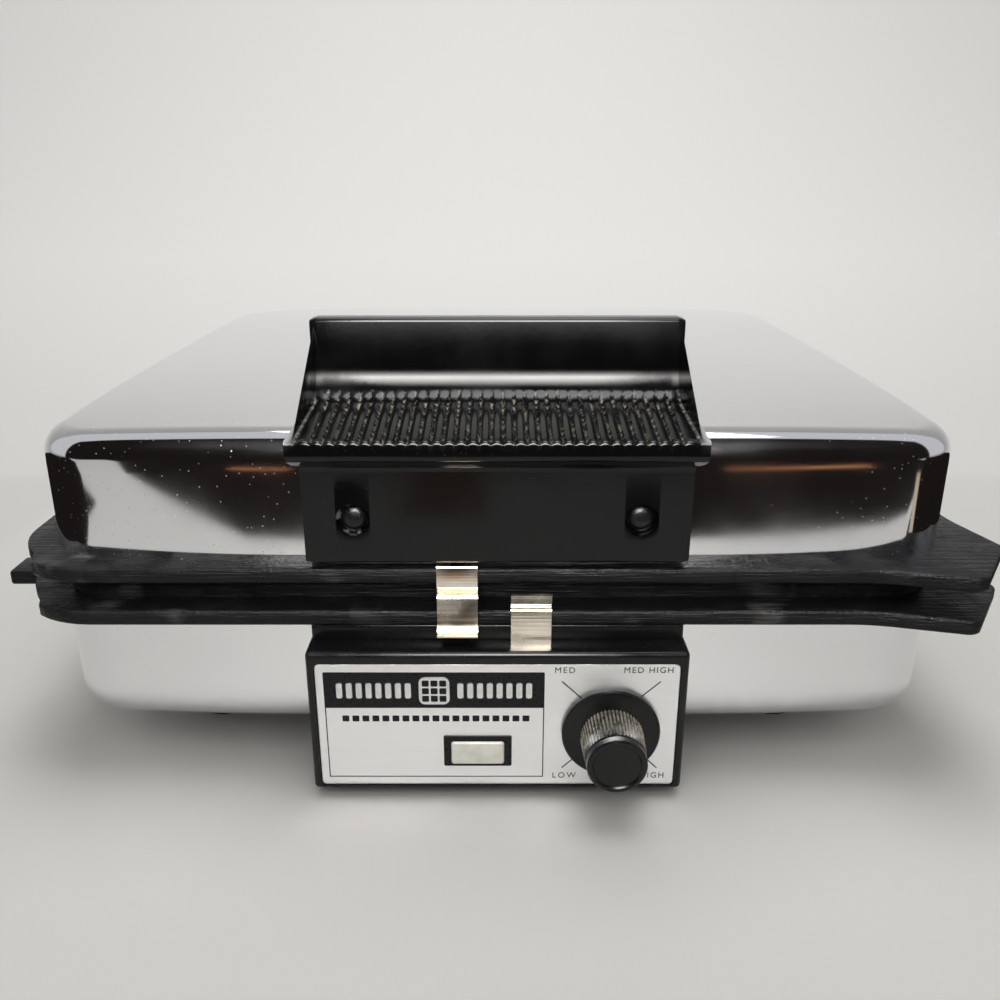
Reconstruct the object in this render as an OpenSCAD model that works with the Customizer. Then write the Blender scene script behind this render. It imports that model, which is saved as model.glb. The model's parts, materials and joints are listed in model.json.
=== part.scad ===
// Grill and waffle baker: a chrome base and lid that close around two reversible cast grids.
// Millimetres. X to the right, Y to the back, Z up.
// The origin is on the table, under the middle of the whole machine.

/* [Shells] */
// Width of both pressed shells
shell_w = 292; // [240:1:352]
// Depth of both pressed shells, front to back
shell_d = 270; // [224:1:326]
// Sheet thickness of the shells
shell_wall = 0.8; // [0.6:0.1:1.2]
// Plan radius of the shell corners
shell_corner_r = 18; // [15:0.5:22]
// Clear height under the base shell
base_gap = 17; // [14:0.5:21]
// Height of the base shell
base_h = 42.5; // [39:0.5:51]
// Radius along the lower edge of the base shell
base_edge_r = 14; // [10:0.5:15]
// Height of the lid shell up to its front top edge
lid_h = 42; // [39:0.5:51]
// Radius along the top edge of the lid shell
lid_edge_r = 9; // [6:0.5:11]
// Rise of the lid's crown above its top edge
lid_dome = 6; // [4:0.5:8]

/* [Grids] */
// Thickness of the outer flange of a grid
flange_t = 5.2; // [4:0.1:6.5]
// How far the flange stands out past the shells at the front
flange_front = 6; // [5:0.5:7.5]
// How far the flange stands out past the shells at each side
flange_side = 13; // [11:0.5:16]
// How far the flange stands out past the shells at the back
flange_rear = 4; // [3:0.5:5]
// Plan radius of the flange corners
flange_corner_r = 30; // [24:1:36]
// Height of a grid's rim from the flange to the parting plane
rim_h = 4.5; // [3.5:0.1:5.5]
// Gap between the two rims when the lid is down
parting_gap = 0.3; // [0.2:0.1:0.6]
// Depth of the baking surface below the rim
pan_depth = 9.5; // [8:0.5:11]
// Thickness of a grid's plate
plate_t = 3.3; // [2.6:0.1:4]
// Height of the waffle pegs
peg_h = 6.5; // [5:0.5:7]
// Side of a waffle peg
peg_w = 11; // [8:0.5:13]
// Number of pegs across one waffle quarter
pegs_per_side = 6; // [4:1:7]
// Length of the side lugs of the lower grid
lug_len = 10; // [8:0.5:12]

/* [Handle] */
// Width of the handle's front plate
handle_w = 119.5; // [100:0.5:143]
// Height of the handle's upright wall above the table
handle_top = 152; // [146:0.5:156]
// Thickness of the front plate
handle_plate_t = 8; // [7:0.5:9.5]
// How far the thumb ledge stands out past the shell
ledge_reach = 15.8; // [14:0.2:19]
// Widening of the ledge at its front, each side
ledge_flare = 2.6; // [1:0.2:4]
// Distance between the two handle screws
handle_screw_pitch = 87; // [73:0.5:104]

/* [Controls] */
// Width of the control housing
housing_w = 120.5; // [108:0.5:144]
// How far the control housing stands out past the shell
housing_reach = 13.5; // [12:0.5:16]
// Clear height under the control housing
housing_gap = 3.3; // [2.8:0.1:4]
// Wall thickness of the control housing
housing_wall = 3; // [2.5:0.1:3.4]
// Width of the face plate
face_w = 115.2; // [103:0.2:116]
// Height of the face plate
face_h = 45; // [42:0.5:46]
// Thickness of the face plate
face_t = 0.8; // [0.6:0.1:1]
// Distance of the knob from the middle of the machine
knob_x = 36.3; // [32:0.1:40]
// Height of the knob's centre
knob_z = 25.5; // [23:0.1:28]
// Diameter of the knob's skirt
skirt_d = 31.5; // [27:0.5:36]
// Length of the knob in front of the face plate
knob_len = 19.6; // [17:0.1:23]
// Diameter of the thermostat shaft
shaft_d = 6; // [5:0.1:6.4]
// Distance of the signal lens from the middle of the machine, to the left
lens_x = 6.4; // [5:0.1:10]
// Height of the signal lens centre
lens_z = 17.6; // [15:0.1:20]

/* [Clips] */
// Width of the sprung grid clips
clip_w = 12.7; // [10:0.1:14]
// Thickness of the clip strip
clip_t = 0.6; // [0.5:0.05:0.7]
// Middle of the upper clip, to the left of the middle of the machine
upper_clip_x = 12.5; // [12:0.1:16]
// Middle of the lower clip, to the right of the middle of the machine
lower_clip_x = 10.6; // [10:0.1:14]

/* [Hinge] */
// Outer diameter of the hinge tube
tube_d = 8; // [7:0.5:9]
// Distance from the back of the shells to the hinge axis
hinge_reach = 12; // [12:0.5:14]
// Lift of the floating hinge for a rising waffle
hinge_lift = 8; // [6:0.5:9]

/* [Heating] */
// Diameter of the heating rods
rod_d = 6.5; // [5.5:0.1:7.8]
// Diameter of the inlet pins
inlet_pin_d = 4.8; // [4:0.1:5.6]
// Distance between the inlet pins
inlet_pitch = 17.5; // [15:0.5:19]

/* [Hidden] */
$fn = 48;
corner_steps = 8;
edge_steps = 6;
dome_steps = 7;
fit = 0.2;
bore_play = 0.05;

// Heights of the stack, from the table up
base_top = base_gap + base_h;
lower_parting = base_top + flange_t + rim_h;
upper_parting = lower_parting + parting_gap;
lid_z = upper_parting + rim_h + flange_t;
lid_edge_z = lid_z + lid_h;

// Depth of the machine: the shells sit so that the whole box is centred on the origin
hinge_housing_t = hinge_reach + 5;
front_reach = housing_reach - 0.5 + knob_len;
mid_y = (front_reach - hinge_housing_t) / 2;
front_y = mid_y - shell_d / 2;
rear_y = mid_y + shell_d / 2;
in_w = shell_w - 2 * shell_wall;
in_d = shell_d - 2 * shell_wall;

// Grid casting
grid_play = 0.7;
rim_w = in_w - 2 * grid_play;
rim_d = in_d - 2 * grid_play;
rim_corner_r = shell_corner_r - shell_wall;
rim_t = 5;
back_rim_h = 5.5;
divider_t = 6;
spout_tip = 7.4;
// Depth of the grease channel across each rim
grease_depth = 0.5;
spout_run = 41;

// Hinge
hinge_y = rear_y + hinge_reach;
hinge_z = handle_top / 2;
knuckle_r = tube_d / 2 + 2;
collar_r = tube_d / 2 + 1.8;
leg_in = 40;
leg_w = 12;
leg_t = 3;
arm_in = leg_in + leg_w + 1;
tube_len = 2 * (arm_in + leg_w + 2);
hinge_housing_w = 144;
hinge_housing_z = [base_gap + 5, base_top - 2.5];
strap_h = 6;
strap_z = hinge_housing_z[1] - 3 - hinge_lift - strap_h - 0.3;

// Controls
face_y = front_y - housing_reach + 0.5;
housing_top = 54 - 59.5 + base_top;
housing_mid_z = (housing_gap + housing_top) / 2;
face_mid_z = housing_mid_z - 1.3;
lens_w = 17.1;
lens_h = 8.4;

// Clips
clip_play = 0.5;
hook = 3.8;
clip_y = front_y - flange_front - 1.1;
clip_foot_y = front_y - 1.1;
lower_rivet_z = base_top - 18.5;
upper_rivet_z = lid_z + 8;
rivet_r = 1.2;
rivet_head_r = 2.2;

// Trays and heating rods
tray_w = 236;
tray_d = shell_d - 46;
tray_h = 20;
tray_t = 0.8;
tray_y = mid_y + 9;
base_tray_z = base_gap + 13;
lid_tray_z = lid_edge_z - 12;
rod_half_w = tray_w / 2 - 20;
rod_half_d = tray_d / 2 - 22;
rod_bend = 22;
rod_rise = 12;
rod_out = 7.5;
lead_gap = 16;
lead_d = 2.2;
lid_lead_z = lid_z + 9;
ear_y = 0.35 * shell_d;
ear_w = 14;

// Inlet
inlet_y = mid_y + 42;
inlet_z = base_top - 17.5;
inlet_w = 38;
inlet_h = 21;
inlet_depth = 20;
inlet_x = shell_w / 2 + 4;

// Feet
foot_x = shell_w / 2 - 41;
foot_y = [front_y + 47, rear_y - 38];
foot_r = 13;

// Handle
handle_fit = 0.3;
handle_screw_z = lid_z + 16.9;
handle_z = lid_z + 2.8;
plate_top = lid_z + 34;
ledge_low = lid_z + 38.2;
ledge_high = lid_z + 43.8;
wall_front = front_y + 20.5;
wall_back = front_y + 29;

// ---- shapes used by more than one piece ----

// One ring of a rounded rectangle with half sizes hx and hy at height z
function ring(hx, hy, r, z) = [
    for (q = [0:3])
        for (k = [0:corner_steps])
            let (a = 90 * q + 90 * k / corner_steps)
            let (cx = (q == 0 || q == 3) ? hx - r : r - hx)
            let (cy = q < 2 ? hy - r : r - hy)
            [cx + r * cos(a), cy + r * sin(a), z]];

// Height of a crown of the given rise at an inset from the edge, over the given reach
function crown(rise, inset, reach) = rise * (1 - pow(1 - min(inset / reach, 1), 2));

// Inset and height of each ring, from the open rim over the rounded edge to the crown
function skin(h, edge, rise, reach) = concat(
    [[0, 0]],
    [for (k = [0:edge_steps])
        let (a = (90 - atan(2 * rise / reach)) * k / edge_steps)
        [edge * (1 - cos(a)), h - edge + edge * sin(a)]],
    rise > 0 ? [for (k = [1:dome_steps])
        let (inset = edge + (reach - 2) * k / dome_steps)
        [inset, h + crown(rise, inset - edge, reach)]] : []);

function skin_rings(w, d, r, h, edge, rise) =
    let (reach = min(w, d) / 2 - edge)
    [for (p = skin(h, edge, rise, reach))
        let (s = max(0, p[0] - edge) / reach)
        let (hx = w / 2 - p[0])
        let (hy = d / 2 - p[0])
        let (r0 = max(r - p[0], r - edge))
        ring(hx, hy, max(0.5, (r0 + (hy - r0) * s * 0.9)), p[1])];

// Triangles between rings i and i + 1 of n points each
function band(i, n, flip) = [
    for (k = [0:n - 1])
        let (a = i * n + k)
        let (b = i * n + (k + 1) % n)
        each flip ? [[a, a + n, b], [b, a + n, b + n]] : [[a, b, a + n], [b, b + n, a + n]]];

// A pressed shell that opens downwards at z = 0
module pressed_shell(w, d, r, h, edge, rise, wall) {
    outer = skin_rings(w, d, r, h, edge, rise);
    inner = skin_rings(w - 2 * wall, d - 2 * wall, r - wall, h - wall, edge - wall, rise);
    n = len(outer[0]);
    m = len(outer);
    rings = concat(outer, inner);
    // the outside winds one way, the inside the other, and a rim joins their first rings
    polyhedron(
        points = [for (r = rings) each r],
        faces = concat(
            [for (i = [0:m - 2]) each band(i, n, true)],
            [for (i = [m:2 * m - 2]) each band(i, n, false)],
            [[for (k = [n - 1:-1:0]) (m - 1) * n + k]],
            [[for (k = [0:n - 1]) (2 * m - 1) * n + k]],
            [for (k = [0:n - 1])
                let (b = (k + 1) % n)
                each [[k, b, m * n + k], [b, m * n + b, m * n + k]]]),
        convexity = 4);
}

module rounded_rect(w, d, r) {
    square([w - 2 * r, d], center = true);
    square([w, d - 2 * r], center = true);
    for (sx = [-1, 1])
        for (sy = [-1, 1])
            translate([sx * (w / 2 - r), sy * (d / 2 - r)])
                circle(r);
}

// Extrudes an outline drawn in Y and Z along X, centred on x
module along_x(x, w) {
    translate([x - w / 2, 0, 0])
        rotate([90, 0, 90])
            linear_extrude(w)
                children();
}

// A cylinder along Y from y0 to y1
module rod_y(x, z, y0, y1, r) {
    translate([x, y0, z])
        rotate([-90, 0, 0])
            cylinder(r = r, h = y1 - y0);
}

// A cylinder along X from x0 to x1
module rod_x(y, z, x0, x1, r) {
    translate([x0, y, z])
        rotate([0, 90, 0])
            cylinder(r = r, h = x1 - x0);
}

// Offsets of a strip's centre line, used for its two sides
function unit(v) = v / norm(v);
function side(p, i) =
    let (a = unit(p[min(i + 1, len(p) - 1)] - p[min(i, len(p) - 2)]))
    let (b = unit(p[max(i, 1)] - p[max(i - 1, 0)]))
    let (m = unit(a + b))
    [-m[1], m[0]] / (m * a);
module strip(p, t) {
    polygon(concat(
        [for (i = [0:len(p) - 1]) p[i] + side(p, i) * t / 2],
        [for (i = [len(p) - 1:-1:0]) p[i] - side(p, i) * t / 2]));
}

// A lead through a list of points
module lead(points, d) {
    for (i = [0:len(points) - 2]) {
        v = points[i + 1] - points[i];
        translate(points[i])
            rotate([0, acos(v[2] / norm(v)), atan2(v[1], v[0])])
                cylinder(d = d, h = norm(v));
    }
    for (i = [1:len(points) - 2])
        translate(points[i])
            sphere(d = d * 1.5, $fn = 24);
}

// Rod bent in the XY plane: directions, turns and tangent lengths at each corner
function heading(p, i) = atan2(p[i + 1][1] - p[i][1], p[i + 1][0] - p[i][0]);
function turn(p, i) = let (t = heading(p, i) - heading(p, i - 1)) t > 180 ? t - 360 : t <= -180 ? t + 360 : t;
function tangent(p, i, r) = (i == 0 || i == len(p) - 1) ? 0 : r * tan(abs(turn(p, i)) / 2);

module bent_rod(p, r, d) {
    for (i = [0:len(p) - 2]) {
        a = heading(p, i);
        start = tangent(p, i, r);
        translate([p[i][0] + start * cos(a), p[i][1] + start * sin(a), 0])
            rotate([0, 90, a])
                cylinder(d = d, h = norm(p[i + 1] - p[i]) - start - tangent(p, i + 1, r));
    }
    for (i = [1:len(p) - 2]) {
        a = heading(p, i - 1);
        t = turn(p, i);
        s = sign(t);
        back = tangent(p, i, r);
        translate([p[i][0] - back * cos(a) - s * r * sin(a), p[i][1] - back * sin(a) + s * r * cos(a), 0])
            rotate([0, 0, s > 0 ? a - 90 : a + 90 + t])
                rotate_extrude(angle = abs(t))
                    translate([r, 0])
                        circle(d = d);
    }
}

// ---- grid casting, with the parting plane at z = 0 and the flange above it ----

flange_w = shell_w + 2 * flange_side;
flange_d = shell_d + flange_front + flange_rear;
flange_y = mid_y + (flange_rear - flange_front) / 2;
flange_x = flange_w / 2;
flange_y0 = front_y - flange_front;

// Funnel outline at the front right corner, drawn in by the given inset
module spout(inset) {
    near = spout_run - inset;
    tip = spout_tip - inset;
    cut = 11 - 0.3 * inset;
    polygon([
        [flange_x - spout_run, flange_y0 + inset],
        [flange_x - cut, flange_y0 - tip],
        [flange_x + tip, flange_y0 + cut],
        [flange_x - inset, flange_y0 + spout_run],
        [flange_x - near, flange_y0 + near]]);
}

module grid_flange() {
    translate([0, flange_y])
        rounded_rect(flange_w, flange_d, flange_corner_r);
    spout(0);
}

module grid_pan(inset) {
    translate([0, mid_y])
        rounded_rect(rim_w - 2 * inset, rim_d - 2 * inset, rim_corner_r - inset);
}

// Shallow grease channel across the rim, from the pan out to the spout
module grease_channel() {
    translate([flange_x - 14, flange_y0 + 14, 0])
        rotate([0, 0, -45])
            translate([-24, -6, 0])
                cube([60, 12, grease_depth + 1]);
}

module grid_pegs() {
    quarter_w = (rim_w - 2 * rim_t - divider_t) / 2;
    quarter_d = (rim_d - 2 * rim_t - divider_t) / 2;
    pitch_x = quarter_w / pegs_per_side;
    pitch_y = quarter_d / pegs_per_side;
    for (qx = [-1, 1])
        for (qy = [-1, 1])
            for (i = [0:pegs_per_side - 1])
                for (j = [0:pegs_per_side - 1])
                    translate([
                        qx * (divider_t / 2 + pitch_x * (i + 0.5)),
                        mid_y + qy * (divider_t / 2 + pitch_y * (j + 0.5))])
                        square(peg_w, center = true);
}

module grid_casting() {
    difference() {
        union() {
            translate([0, 0, rim_h])
                linear_extrude(flange_t)
                    grid_flange();
            linear_extrude(rim_h + flange_t + back_rim_h)
                grid_pan(0);
        }
        // baking side
        translate([0, 0, -1])
            linear_extrude(pan_depth + 1)
                grid_pan(rim_t);
        // griddle side
        translate([0, 0, pan_depth + plate_t])
            linear_extrude(back_rim_h + rim_h)
                grid_pan(rim_t);
        translate([0, 0, -1])
            grease_channel();
    }
    translate([0, 0, pan_depth - peg_h])
        linear_extrude(peg_h + 0.5)
            grid_pegs();
    // ribs that part the four waffles
    translate([0, mid_y, pan_depth - peg_h / 2 + 0.25]) {
        cube([rim_w - 2 * rim_t + 1, divider_t - 2, peg_h + 0.5], center = true);
        cube([divider_t - 2, rim_d - 2 * rim_t + 1, peg_h + 0.5], center = true);
    }
}

module lower_grid() {
    color("#1b1a1b") {
        translate([0, 0, lower_parting])
            mirror([0, 0, 1])
                grid_casting();
        // thumb lugs at both sides
        for (s = [-1, 1])
            translate([s * (flange_x + lug_len / 2 - 2), front_y + 31, base_top + flange_t / 2])
                cube([lug_len + 4, 13, flange_t], center = true);
    }
}

module upper_grid() {
    color("#1b1a1b")
        translate([0, 0, upper_parting])
            grid_casting();
}

// ---- base ----

module base_shell() {
    color("#c9ccd0")
        difference() {
            translate([0, mid_y, base_top])
                mirror([0, 0, 1])
                    pressed_shell(shell_w, shell_d, shell_corner_r, base_h, base_edge_r, 0, shell_wall);
            rod_y(knob_x, knob_z, front_y - 2, front_y + 12, 5);
            for (s = [-1, 1])
                rod_y(s * housing_screw_x, housing_screw_z, front_y - 2, front_y + 2, 2.2);
            rod_y(lower_clip_x, lower_rivet_z, front_y - 2, front_y + 2, rivet_r + 0.05);
            for (x = foot_x * [-1, 1])
                for (y = foot_y)
                    translate([x, y, base_gap - 1])
                        cylinder(r = 2.2, h = 4);
            for (s = [-1, 1])
                rod_y(s * hinge_screw_x, hinge_screw_z, rear_y - 2, rear_y + 2, 2.2);
            translate([shell_w / 2 - 3, inlet_y - inlet_w / 2 - fit, inlet_z - inlet_h / 2 - fit])
                cube([6, inlet_w + 2 * fit, inlet_h + 2 * fit]);
            // cooling slots
            for (i = [-2:2])
                translate([i * 22 - 1.75, mid_y - 14, base_gap - 1])
                    cube([3.5, 28, 3]);
        }
}
housing_screw_x = 52;
housing_screw_z = base_top - 20;
hinge_screw_x = 60;
hinge_screw_z = base_gap + 18;

// Bright tray with its floor at z = 0, open upwards
module heat_tray(lead_side) {
    difference() {
        translate([-tray_w / 2, -tray_d / 2, 0])
            cube([tray_w, tray_d, tray_h]);
        translate([-tray_w / 2 + tray_t, -tray_d / 2 + tray_t, tray_t])
            cube([tray_w - 2 * tray_t, tray_d - 2 * tray_t, tray_h]);
        for (s = [-1, 1])
            rod_x(s * lead_gap / 2, rod_rise, tray_w / 2 - 3, tray_w / 2 + 3, rod_d / 2 + 1);
    }
    // ears that reach the shell's side walls, turned up at their ends
    for (sx = [-1, 1])
        for (sy = [-1, 1])
            translate([sx > 0 ? 0 : -in_w / 2, sy * ear_y - ear_w / 2, 0]) {
                translate([sx > 0 ? tray_w / 2 - tray_t : 0, 0, tray_h - tray_t])
                    cube([(in_w - tray_w) / 2 + tray_t, ear_w, tray_t]);
                translate([sx > 0 ? in_w / 2 - tray_t : 0, 0, tray_h - 7])
                    cube([tray_t, ear_w, 7]);
            }
}

module base_reflector() {
    color("#b9babc")
        translate([0, tray_y, base_tray_z])
            heat_tray();
}

// Heating rod loop with both ends out to the right
module heat_rod() {
    p = [
        [tray_w / 2 + rod_out, -lead_gap / 2],
        [rod_half_w, -lead_gap / 2],
        [rod_half_w, -rod_half_d],
        [-rod_half_w, -rod_half_d],
        [-rod_half_w, rod_half_d],
        [rod_half_w, rod_half_d],
        [rod_half_w, lead_gap / 2],
        [tray_w / 2 + rod_out, lead_gap / 2]];
    bent_rod(p, lead_gap / 2 - 1, rod_d);
}

module base_element() {
    color("#6a6a6e")
        translate([0, tray_y, base_tray_z + rod_rise])
            heat_rod();
}

// Saddles under the rod, standing on the tray floor
module rod_saddles() {
    for (s = [-1, 1]) {
        difference() {
            translate([s * rod_half_w / 2 - 2, -rod_half_d - rod_d / 2 - 2, tray_t])
                cube([4, rod_d + 4, rod_rise + rod_d / 2 + 1 - tray_t]);
            rod_x(-rod_half_d, rod_rise, s * rod_half_w / 2 - 3, s * rod_half_w / 2 + 3, rod_d / 2 + bore_play);
        }
        difference() {
            translate([s * rod_half_w / 2 - 2, rod_half_d - rod_d / 2 - 2, tray_t])
                cube([4, rod_d + 4, rod_rise + rod_d / 2 + 1 - tray_t]);
            rod_x(rod_half_d, rod_rise, s * rod_half_w / 2 - 3, s * rod_half_w / 2 + 3, rod_d / 2 + bore_play);
        }
    }
}

module base_element_clips() {
    color("#d8d2c0")
        translate([0, tray_y, base_tray_z])
            rod_saddles();
}

// Hooks over the rear edge of a grid, drawn for the base with the flange top at z = 0
module rear_hooks() {
    for (s = [-1, 1])
        along_x(s * 104, 16)
            polygon([
                [rear_y, -18],
                [rear_y + 1.2, -18],
                [rear_y + 1.2, -12],
                [rear_y + flange_rear + 1.7, -9],
                [rear_y + flange_rear + 1.7, 1.5],
                [rear_y - 0.4, 1.5],
                [rear_y - 0.4, 0.3],
                [rear_y + flange_rear + 0.5, 0.3],
                [rear_y + flange_rear + 0.5, -8],
                [rear_y, -10.7]]);
}

module lower_grid_catches() {
    color("#b8b2a4")
        translate([0, 0, base_top + flange_t])
            rear_hooks();
}

module upper_grid_catches() {
    color("#b8b2a4")
        translate([0, 0, lid_z - flange_t])
            mirror([0, 0, 1])
                rear_hooks();
}

// Moulded box on the front, with a toe that reaches under the rounded edge of the base
module control_housing() {
    y0 = front_y - housing_reach;
    toe_y = front_y + 18;
    color("#141315")
        difference() {
            translate([-housing_w / 2, y0, housing_gap])
                cube([housing_w, toe_y - y0, housing_top - housing_gap]);
            translate([-housing_w, front_y - fit, base_gap + base_edge_r])
                cube([2 * housing_w, 60, base_h]);
            rod_x(front_y + base_edge_r, base_gap + base_edge_r, -housing_w, housing_w, base_edge_r + fit);
            translate([-housing_w, front_y + base_edge_r, base_gap - fit])
                cube([2 * housing_w, 60, base_h]);
            // seat for the face plate
            translate([-face_w / 2 - fit, y0 - 1, face_mid_z - face_h / 2 - fit])
                cube([face_w + 2 * fit, 1 + 0.5 + face_t, face_h + 2 * fit]);
            // hollow for the lamp, the shaft and the clip's foot
            translate([-housing_w / 2 + housing_wall, y0 + housing_wall + 1.3, base_gap])
                cube([housing_w - 2 * housing_wall, housing_reach, housing_top - housing_wall - base_gap]);
            rod_y(knob_x, knob_z, y0 - 1, front_y + 20, shaft_d / 2 + 1);
            translate([-lens_x - lens_w / 2 - fit, y0 - 1, lens_z - lens_h / 2 - fit])
                cube([lens_w + 2 * fit, housing_reach - 1, lens_h + 2 * fit]);
            // way through the top for the lower clip
            translate([lower_clip_x - clip_w / 2 - clip_play, clip_y - 2.6, housing_top - housing_wall - 1])
                cube([clip_w + 2 * clip_play, 3.6, housing_wall + 2]);
        }
    // bosses for the two screws
    for (s = [-1, 1])
        color("#141315")
            difference() {
                rod_y(s * housing_screw_x, housing_screw_z, y0 + housing_wall + 1, front_y - fit, 4.2);
                rod_y(s * housing_screw_x, housing_screw_z, y0 + housing_wall + 3, front_y + 1, 1.8);
            }
}

// Pan-head screw along Y: the head is at y0, on the side of dir
module screw_y(x, z, y0, dir, len, head_r, head_h, r) {
    rod_y(x, z, min(y0, y0 + dir * len), max(y0, y0 + dir * len), r);
    rod_y(x, z, min(y0, y0 - dir * head_h), max(y0, y0 - dir * head_h), head_r);
}

module housing_screws() {
    color("#9a9a9c")
        for (s = [-1, 1])
            screw_y(s * housing_screw_x, housing_screw_z, front_y + shell_wall + 0.1, -1,
                housing_reach - housing_wall - 4, 3.4, 2, 1.75);
}

module face_plate() {
    color("#cfcfcf")
        difference() {
            translate([-face_w / 2, face_y, face_mid_z - face_h / 2])
                cube([face_w, face_t, face_h]);
            rod_y(knob_x, knob_z, face_y - 1, face_y + 2, shaft_d / 2 + 0.8);
            translate([-lens_x - lens_w / 2 - 0.1, face_y - 1, lens_z - lens_h / 2 - 0.1])
                cube([lens_w + 0.2, 3, lens_h + 0.2]);
        }
}

module lamp_lens() {
    color("#e9e3d2")
        translate([-lens_x - lens_w / 2, face_y - 1.2, lens_z - lens_h / 2])
            cube([lens_w, 6, lens_h]);
}

module signal_lamp() {
    color("#d98a4a") {
        rod_x(face_y + 8, lens_z + 1, -lens_x - 8, -lens_x + 6, 2.4);
        rod_x(face_y + 8, lens_z + 1, -lens_x + 5, -lens_x + 9, 1);
    }
}

module thermostat() {
    color("#8d8a80")
        difference() {
            union() {
                translate([knob_x - 17, front_y + base_edge_r / 2 + 1.5, base_gap + 4])
                    cube([34, 22, 22]);
                rod_y(knob_x, knob_z, front_y + 4.5, front_y + 10, 4);
                // sensing blade up to the underside of the lower grid
                translate([knob_x - 5, front_y + 26, base_gap + 20])
                    cube([10, 1, base_h - plate_t - 20 - back_rim_h + 2]);
            }
            rod_y(knob_x, knob_z, front_y, front_y + 22, shaft_d / 2 + bore_play);
        }
}

module thermostat_shaft() {
    color("#c8c4b6")
        difference() {
            rod_y(knob_x, knob_z, face_y - knob_len + 4, front_y + 21, shaft_d / 2);
            translate([knob_x - 5, face_y - knob_len, knob_z + shaft_d / 2 - 1.2])
                cube([10, knob_len - 0.5, 5]);
        }
}

// Skirted knob whose nub points to the lower right
module control_knob() {
    y1 = face_y - 0.6;
    color("#161517")
        difference() {
            translate([knob_x, y1, knob_z])
                rotate([90, 0, 0]) {
                    rotate_extrude()
                        polygon([
                            [0, 0], [skirt_d / 2 - 0.6, 0], [skirt_d / 2, 0.6], [skirt_d / 2, 1.2],
                            [skirt_d / 2 - 1.2, 2.2], [10.1, 2.8], [9.3, knob_len - 1.6],
                            [8.6, knob_len - 0.6], [0, knob_len - 0.6]]);
                    rotate([0, 0, -45])
                        translate([9, -1.2, 1])
                            cube([skirt_d / 2 - 9.4, 2.4, 2.4]);
                }
            difference() {
                rod_y(knob_x, knob_z, face_y - knob_len + 3.9, face_y + 1, shaft_d / 2 + bore_play);
                translate([knob_x - 5, face_y - knob_len, knob_z + shaft_d / 2 - 1.2 + bore_play])
                    cube([10, knob_len + 2, 5]);
            }
        }
}

module feet() {
    color("#1a1a1c")
        for (x = foot_x * [-1, 1])
            for (y = foot_y)
                translate([x, y, 0])
                    difference() {
                        cylinder(r1 = foot_r - 2, r2 = foot_r, h = base_gap);
                        translate([0, 0, -1])
                            cylinder(r = 4.5, h = base_gap - 6);
                        translate([0, 0, -1])
                            cylinder(r = 2.2, h = base_gap + 2);
                    }
}

module foot_screws() {
    color("#9a9a9c")
        for (x = foot_x * [-1, 1])
            for (y = foot_y)
                translate([x, y, 0]) {
                    translate([0, 0, base_gap - 9.4])
                        cylinder(r = 3.8, h = 2.4);
                    translate([0, 0, base_gap - 8])
                        cylinder(r = 2, h = 13);
                }
}

module foot_nuts() {
    color("#9a9a9c")
        for (x = foot_x * [-1, 1])
            for (y = foot_y)
                translate([x, y, base_gap + shell_wall])
                    difference() {
                        cylinder(r = 4, h = 2.6, $fn = 6);
                        translate([0, 0, -1])
                            cylinder(r = 2.03, h = 5);
                    }
}

module inlet_housing() {
    color("#161416")
        difference() {
            union() {
                translate([inlet_x - inlet_depth - 4, inlet_y - inlet_w / 2, inlet_z - inlet_h / 2])
                    cube([inlet_depth + 4, inlet_w, inlet_h]);
                translate([shell_w / 2 + 0.1, inlet_y - inlet_w / 2 - 2.5, inlet_z - inlet_h / 2 - 1.5])
                    cube([1.8, inlet_w + 5, inlet_h + 3]);
            }
            translate([inlet_x - inlet_depth, inlet_y - inlet_w / 2 + 4, inlet_z - inlet_h / 2 + 3])
                cube([inlet_depth + 1, inlet_w - 8, inlet_h - 6]);
            for (s = [-1, 1])
                rod_x(inlet_y + s * inlet_pitch / 2, inlet_z, inlet_x - inlet_depth - 5, inlet_x,
                    inlet_pin_d / 2 - 0.4);
        }
}

module inlet_pins() {
    color("#c9c7c0")
        for (s = [-1, 1]) {
            rod_x(inlet_y + s * inlet_pitch / 2, inlet_z, inlet_x - inlet_depth, inlet_x - 2, inlet_pin_d / 2);
            rod_x(inlet_y + s * inlet_pitch / 2, inlet_z, inlet_x - inlet_depth - 7, inlet_x - inlet_depth,
                inlet_pin_d / 2 - 0.4);
        }
}

module rear_hinge_housing() {
    z0 = hinge_housing_z[0];
    z1 = hinge_housing_z[1];
    color("#161517")
        difference() {
            translate([-hinge_housing_w / 2, rear_y + 0.2, z0])
                cube([hinge_housing_w, hinge_housing_t - 0.2, z1 - z0]);
            translate([-hinge_housing_w / 2 + 3, rear_y, z0 + 3])
                cube([hinge_housing_w - 6, hinge_reach + 2.5, z1 - z0 - 6]);
            for (s = [-1, 1])
                translate([s * (leg_in + leg_w / 2) - leg_w / 2 - 0.4, hinge_y - leg_t / 2 - 0.4, z1 - 5])
                    cube([leg_w + 0.8, leg_t + 0.8, 10]);
        }
    color("#161517")
        for (s = [-1, 1])
            difference() {
                rod_y(s * hinge_screw_x, hinge_screw_z, rear_y + 0.2, hinge_y + 3, 4);
                rod_y(s * hinge_screw_x, hinge_screw_z, rear_y, hinge_y, 1.8);
            }
}

module hinge_housing_screws() {
    color("#9a9a9c")
        for (s = [-1, 1])
            screw_y(s * hinge_screw_x, hinge_screw_z, rear_y - shell_wall - 0.1, 1, hinge_reach - 2, 3.4, 2, 1.75);
}

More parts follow.
